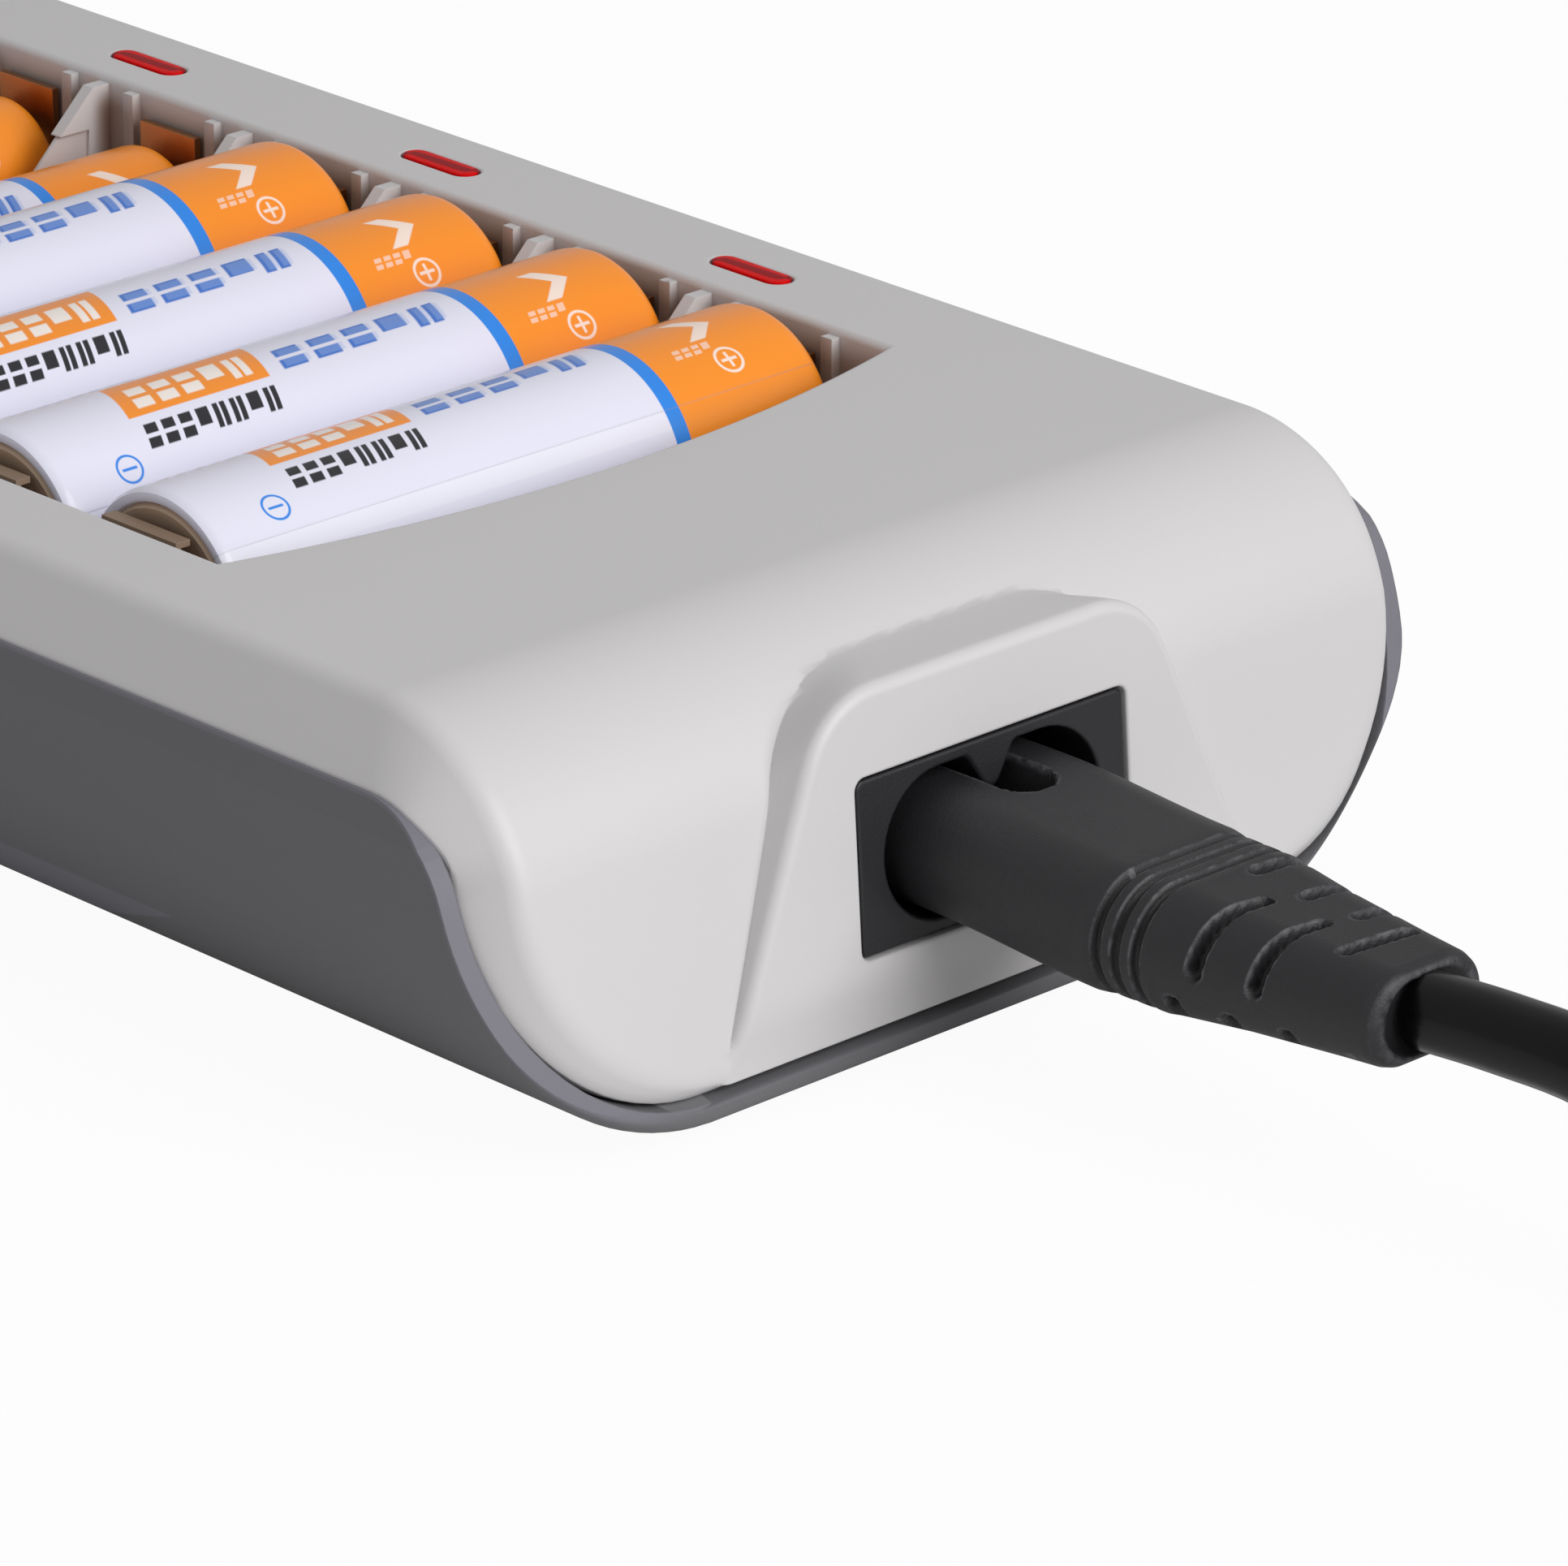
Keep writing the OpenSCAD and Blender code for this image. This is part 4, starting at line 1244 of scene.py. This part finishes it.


# One moulded or painted surface with grain, drift, rubbed edges and painted shade in grooves
def surface(name, colour, rough, metallic=0, grain=4000, depth=0.01, drift=0.06, roughDrift=0.12,
            coat=0, wearAndGrooveShade=(), edge=None, specular=0.5, driftScale=40, paintOver=None):
    material, tree, shader = newMaterial(name)
    detail = useGroup(tree, "grain", Grain_Scale=grain, Drift_Scale=driftScale)
    tone = useGroup(tree, "tone", Color=linear(*colour), Drift=detail["Drift"], Speck=detail["Speck"],
                    Amount=drift)
    paint = tone["Color"]
    if paintOver:
        paint = paintOver(tree, paint)
    # Each entry paints edge wear or painted groove shade where the pointiness lies in its range
    for start, end, wearShadeColour in wearAndGrooveShade:
        wearShadeMask = useGroup(tree, "wearShade", Start=start, End=end)["Mask"]
        paint = blendColour(tree, wearShadeMask, paint, linear(*wearShadeColour))
    gloss = calc(tree, "MULTIPLY_ADD", detail["Drift"], roughDrift, rough - roughDrift / 2)
    looks = {"Base Color": paint, "Roughness": gloss, "Metallic": metallic, "Coat Weight": coat,
             "Coat Roughness": 0.2, "Specular IOR Level": specular}
    for title, value in looks.items():
        feed(tree, shader[title], value)
    bumpInto(tree, shader, detail["Height"], depth, softEdge(tree, edge) if edge else None)
    return material


# Painted highlight: the rim of the grey shell is painted paler where its edge face catches the light
def paintLipHighlight(tree, paint):
    mask = useGroup(tree, "lip", Centre_X=lip["x"] * mm, Centre_Z=lip["z"] * mm, Radius=lip["r"] * mm,
                    Slant=lip["slant"])["Mask"]
    return blendColour(tree, mask, paint, linear(*lip["colour"]))


# Painted shade inside the well: the wall behind the studs is darkened to a warm brown for its shadow and
# the orange light the cells bounce onto it
wellShade = {"from": (24.5, 25.8), "to": (26.3, 26.8), "under": (24.5, 26.8), "within": (64, 68),
            "share": 0.75, "colour": (132, 104, 84)}


def paintWellShade(tree, paint):
    s = wellShade
    x, y, z = axes(tree, objectPlace(tree))
    ends = ((y, "from"), (y, "to"), (z, "under"), (calc(tree, "ABSOLUTE", x), "within"))
    behind, *others = [ease(tree, value, *[v * mm for v in s[key]]) for value, key in ends]
    mask = times(tree, behind, *[minus(tree, 1, other) for other in others], s["share"])
    return blendColour(tree, mask, paint, linear(*s["colour"]))


materials = {
    # The white plastic carries painted shade on the well wall behind the studs
    "white": surface("whitePlastic", (204, 202, 203), 0.42, grain=5200, depth=0.006, drift=0.03,
                     driftScale=24, edge=0.14, specular=0.45, paintOver=paintWellShade),
    # The grey plastic carries the painted rim highlight
    "grey": surface("greyPlastic", (101, 101, 104), 0.46, grain=4200, depth=0.012, drift=0.07, edge=0.16,
                    specular=0.4, paintOver=paintLipHighlight),
    "inlet": surface("inletPlastic", (27, 27, 31), 0.52, grain=5200, depth=0.02, drift=0.08, edge=0.12),
    # The plug's grooves are darkened as painted shade; its raised edges are rubbed paler
    "plug": surface("plugPlastic", (34, 34, 37), 0.52, grain=6500, depth=0.035, drift=0.1,
                    wearAndGrooveShade=((0.49, 0.43, (14, 14, 16)), (0.51, 0.57, (92, 92, 96)))),
    "cord": surface("cordSleeve", (5, 5, 6), 0.2, grain=1500, depth=0.004, drift=0.1, specular=0.26),
    "tie": surface("tieBand", (26, 26, 28), 0.6, grain=3500, depth=0.03, drift=0.12),
    "rubber": surface("footRubber", (30, 30, 30), 0.75, grain=4200, depth=0.03, drift=0.15, edge=0.2),
    "steel": surface("cellSteel", (190, 165, 142), 0.46, metallic=0.3, grain=2600, depth=0.006, drift=0.14,
                     roughDrift=0.2, driftScale=260),
    "screw": surface("screwSteel", (150, 150, 152), 0.35, metallic=1, grain=3200, depth=0.01, drift=0.2,
                     edge=0.12),
    "contact": surface("contactSpring", (150, 127, 107), 0.5, metallic=0.3, grain=3000, depth=0.006,
                       drift=0.12, roughDrift=0.2, edge=0.06),
    "copper": surface("contactCopper", (190, 138, 92), 0.34, metallic=1, grain=3000, depth=0.008,
                      drift=0.25, roughDrift=0.25, driftScale=300, edge=0.06),
    "pin": surface("pinPlating", (205, 200, 192), 0.22, metallic=1, grain=2600, depth=0.004, drift=0.08,
                   roughDrift=0.15),
    "pinSleeve": surface("pinSleeve", (28, 28, 30), 0.45, grain=4200, depth=0.01, drift=0.1),
    "board": surface("boardLacquer", (38, 92, 54), 0.35, grain=900, depth=0.02, drift=0.3, driftScale=220,
                     coat=0.3),
    "winding": surface("windingTape", (205, 172, 70), 0.45, grain=1400, depth=0.03, drift=0.2,
                       driftScale=160),
    "sleeve": surface("capacitorSleeve", (44, 58, 92), 0.3, grain=1800, depth=0.01, drift=0.15, coat=0.3),
    "ceramic": surface("fuseBody", (196, 188, 168), 0.4, grain=2400, depth=0.01, drift=0.1),
    "chip": surface("chipBody", (28, 28, 29), 0.6, grain=5200, depth=0.02, drift=0.1, edge=0.1),
    "smallLamp": surface("lampBody", (232, 150, 140), 0.3, grain=2400, depth=0.006, drift=0.1, coat=0.5),
}


# Red light bar: clear red plastic, a little deeper towards its rim
lampLook = {"colour": (216, 8, 9), "rimColour": (150, 12, 22), "rim": (0.53, 0.62), "rough": 0.36,
            "specular": 0.05, "drift": 0.25, "depth": 0.01}


def makeLampMaterial():
    s = lampLook
    material, tree, shader = newMaterial("lightBarRed")
    detail = useGroup(tree, "grain", Grain_Scale=3000, Drift_Scale=500)
    tone = useGroup(tree, "tone", Color=linear(*s["colour"]), Drift=detail["Drift"], Amount=s["drift"])
    rim = ease(tree, pointiness(tree), *s["rim"])
    feed(tree, shader["Base Color"], blendColour(tree, rim, tone["Color"], linear(*s["rimColour"])))
    feed(tree, shader["Roughness"], s["rough"])
    feed(tree, shader["Specular IOR Level"], s["specular"])
    bumpInto(tree, shader, detail["Height"], s["depth"])
    return material


materials["lamp"] = makeLampMaterial()


# Printed sleeve: fields of colour, generic blocks and the two signs. Places run along the cell in mm
# and round it in degrees; rows and signs give along, around and their own sizes.
sleeve = {
    "pale": (231, 230, 246), "orange": (252, 146, 16), "blue": (30, 134, 232), "ink": (26, 26, 34),
    "deepBlue": (52, 112, 204), "white": (250, 240, 232), "overlap": (240, 240, 250),
    "shine": (150, 180, 235), "seam": (140, 140, 160),
    "arc": math.pi * 7.1 / 180,
    "flag": (8.6, 19.9), "flagAround": (-14, 22.5), "slant": 0.28,
    "flagRow": (9.6, -3, 1.95, 2.6, 5), "inkRow": (8.2, 28, 1.36, 1.9, 8), "bigRow": (20.8, 3, 2.8, 2.3, 5),
    "shineRow": (21.05, 4.6, 2.8, 1.9, 5), "barRow": (39.4, 32, 0.8, 0.9, 4),
    "minus": (5.6, 49.2, 0.98, 0.17, 0), "plus": (42.8, 47.4, 1.05, 0.2, 1),
    "blueRing": (35.9, 37.1), "orangeEnd": (36.95, 60),
    "chevron": {"along": 40.4, "around": 17, "slope": 1.1, "stroke": (2.7, 4.0), "half": 1.55},
    "overlapAt": (63.5, 74), "seamAt": (63.2, 63.9), "stepAt": (63, 64),
    "rough": 0.34, "roughDrift": 0.14, "coat": 0.35, "coatRough": 0.16, "depth": 0.03,
}


def makeSleeve(name, turn, form):
    s = sleeve
    material, tree, shader = newMaterial(name)
    uv = tree.nodes.new("ShaderNodeUVMap")
    uv.uv_map = "UVMap"
    parts = axes(tree, uv.outputs["UV"])
    degrees = minus(tree, times(tree, parts[0], 360), turn)
    around = times(tree, calc(tree, "WRAP", degrees, 180, -180), math.pi * form["r"] / 180)
    along = times(tree, parts[1], 100 / (form["long"] / cellForm["aa"]["long"]))

    def turned(degreesPair):
        return [v * s["arc"] for v in degreesPair]

    def row(key):
        start, up, pitch, high, count = s[key]
        return useGroup(tree, "row", Along=minus(tree, along, start), Up=minus(tree, around, up * s["arc"]),
                        Pitch=pitch, High=high, Count=count)["Mask"]

    def sign(key):
        start, up, radius, line, cross = s[key]
        return useGroup(tree, "sign", Along=minus(tree, along, start),
                        Around=minus(tree, around, up * s["arc"]),
                        Radius=radius, Line=line, Cross=cross)["Mask"]

    flag = times(tree, band(tree, calc(tree, "MULTIPLY_ADD", around, s["slant"], along), *s["flag"], 0.07),
                 band(tree, around, *turned(s["flagAround"]), 0.06))
    c = s["chevron"]
    fold = calc(tree, "ABSOLUTE", minus(tree, around, c["around"] * s["arc"]))
    chevron = calc(tree, "MULTIPLY_ADD", fold, c["slope"], minus(tree, along, c["along"]))
    strokes = times(tree, band(tree, chevron, *c["stroke"], 0.08), band(tree, fold, -1, c["half"], 0.08))
    marks = calc(tree, "MAXIMUM", strokes, times(tree, row("barRow"), 0.6))
    layers = [
        (band(tree, around, *turned(s["overlapAt"]), 0.1), 0.55, "overlap"),
        (flag, 1, "orange"),
        (times(tree, row("flagRow"), flag), 1, "white"),
        (row("inkRow"), 1, "ink"),
        (row("bigRow"), 1, "deepBlue"),
        (row("shineRow"), 0.35, "shine"),
        (sign("minus"), 1, "blue"),
        (band(tree, along, *s["orangeEnd"], 0.05), 1, "orange"),
        (band(tree, along, *s["blueRing"], 0.05), 1, "blue"),
        (sign("plus"), 0.85, "white"),
        (marks, 0.85, "white"),
        (band(tree, around, *turned(s["seamAt"]), 0.04), 0.25, "seam"),
    ]
    paint = linear(*s["pale"])
    for mask, share, colour in layers:
        paint = blendColour(tree, times(tree, mask, share), paint, linear(*s[colour]))
    place = objectPlace(tree)
    tone = useGroup(tree, "tone", Color=paint, Drift=noise(tree, place, 60, 3, 0.6), Amount=0.05)
    gloss = calc(tree, "MULTIPLY_ADD", noise(tree, place, 300, 3, 0.6), s["roughDrift"],
                 s["rough"] - s["roughDrift"] / 2)
    looks = {"Base Color": tone["Color"], "Roughness": gloss, "Coat Weight": s["coat"],
             "Coat Roughness": s["coatRough"]}
    for title, value in looks.items():
        feed(tree, shader[title], value)
    step = ease(tree, around, *turned(s["stepAt"]))
    wrinkle = calc(tree, "MULTIPLY_ADD", noise(tree, place, 350, 2, 0.5), 0.5, step)
    bumpInto(tree, shader, wrinkle, s["depth"])
    return material


def coat(obj, *keys):
    slots = obj.data.materials
    while len(slots) < len(keys):
        slots.append(None)
    for i, key in enumerate(keys):
        slots[i] = materials[key]


cellTurn = {1: -20, 2: 5, 3: -8, 4: 10, 5: -3, 6: 2, 7: 0, 8: -14.5}
for k, piece in cellPieces.items():
    key = "sleeve%d" % k
    materials[key] = makeSleeve("printedSleeve%d" % k, cellTurn[k], cellForm["aaa" if k < 5 else "aa"])
    coat(piece, "steel", key)

finishes = [(topShell, "white"), (baseShell, "grey"), (socketPiece, "inlet"), (plugPiece, "plug"),
            (cordPiece, "cord"), (tiePiece, "tie"), (mainsPiece, "plug")]
finishes += [(piece, "pin", "pinSleeve") for piece in pinPieces]
finishes += [(piece, "lamp") for piece in lampPieces]
for piece, *keys in finishes:
    coat(piece, *keys)

# CAD pieces kept as they are: their finish and the width of a soft edge
cadFinish = {
    "inlet_pins": ("pin", 0.15), "circuit_board": ("board", 0.1), "transformer": ("winding", 0.3),
    "main_capacitor": ("sleeve", 0.4), "output_capacitor": ("sleeve", 0.4), "fuse": ("ceramic", 0.3),
    "control_chip": ("chip", 0.12), "led_lamps": ("smallLamp", 0.2), "negative_rail": ("contact", 0.04),
    "hinge_wires": ("screw", 0.1), "shell_screws": ("screw", 0.15), "rubber_feet": ("rubber", 0.3),
}
for k in range(1, 9):
    cadFinish["flap_%d" % k] = ("contact", 0.05)
    cadFinish["positive_contact_%d" % k] = ("copper", 0.08)
for node, (key, edge) in cadFinish.items():
    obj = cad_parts[node]
    coat(obj, key)
    soften = obj.modifiers.new("softEdges", "BEVEL")
    soften.width = edge * mm
    soften.segments = 2
    soften.limit_method = "ANGLE"
    soften.angle_limit = math.radians(40)
print("materials made")


# Stage and light, in metres: a pale floor, an even sky and one soft lamp
stage = {"floor": 3.0, "floorTone": 0.8, "floorRough": 0.9, "floorGlow": 0.95, "world": 0.465, "key": 5.9,
         "keySize": 0.7, "keyAway": 0.9, "keyTowards": (0.86, 0.12, 0.5), "keyAim": (0.04, 0, 0.01)}


def cameraRay(tree):
    return tree.nodes.new("ShaderNodeLightPath").outputs["Is Camera Ray"]


def makeWorld():
    world = bpy.data.worlds.new("studio")
    bpy.context.scene.world = world
    world.use_nodes = True
    tree = world.node_tree
    back = tree.nodes["Background"]
    back.inputs["Color"].default_value = (1, 1, 1, 1)
    strength = calc(tree, "MULTIPLY_ADD", cameraRay(tree), 1 - stage["world"], stage["world"])
    tree.links.new(strength, back.inputs["Strength"])


def makeFloor():
    s = stage["floor"] / 2
    mesh = bpy.data.meshes.new("floor")
    mesh.from_pydata([(-s, -s, 0), (s, -s, 0), (s, s, 0), (-s, s, 0)], [], [(0, 1, 2, 3)])
    obj = link("floor", mesh)
    material, tree, shader = newMaterial("paleFloor")
    tone = stage["floorTone"]
    shader["Base Color"].default_value = (tone, tone, tone, 1)
    shader["Roughness"].default_value = stage["floorRough"]
    glow = tree.nodes.new("ShaderNodeEmission")
    glow.inputs["Color"].default_value = (1, 1, 1, 1)
    blend = tree.nodes.new("ShaderNodeMixShader")
    tree.links.new(times(tree, cameraRay(tree), stage["floorGlow"]), blend.inputs[0])
    tree.links.new(tree.nodes["Principled BSDF"].outputs[0], blend.inputs[1])
    tree.links.new(glow.outputs[0], blend.inputs[2])
    tree.links.new(blend.outputs[0], tree.nodes["Material Output"].inputs["Surface"])
    obj.data.materials.append(material)


def makeKeyLight():
    light = bpy.data.lights.new("keyLight", "AREA")
    light.shape = "DISK"
    light.size = stage["keySize"]
    light.energy = stage["key"]
    obj = bpy.data.objects.new("keyLight", light)
    bpy.context.scene.collection.objects.link(obj)
    towards = stage["keyTowards"]
    length = math.sqrt(sum(v * v for v in towards))
    unit = [v / length for v in towards]
    obj.location = [a + u * stage["keyAway"] for a, u in zip(stage["keyAim"], unit)]
    obj.rotation_euler = (math.acos(unit[2]), 0, math.atan2(unit[1], unit[0]) + math.pi / 2)


makeWorld()
makeFloor()
makeKeyLight()
print("stage made")
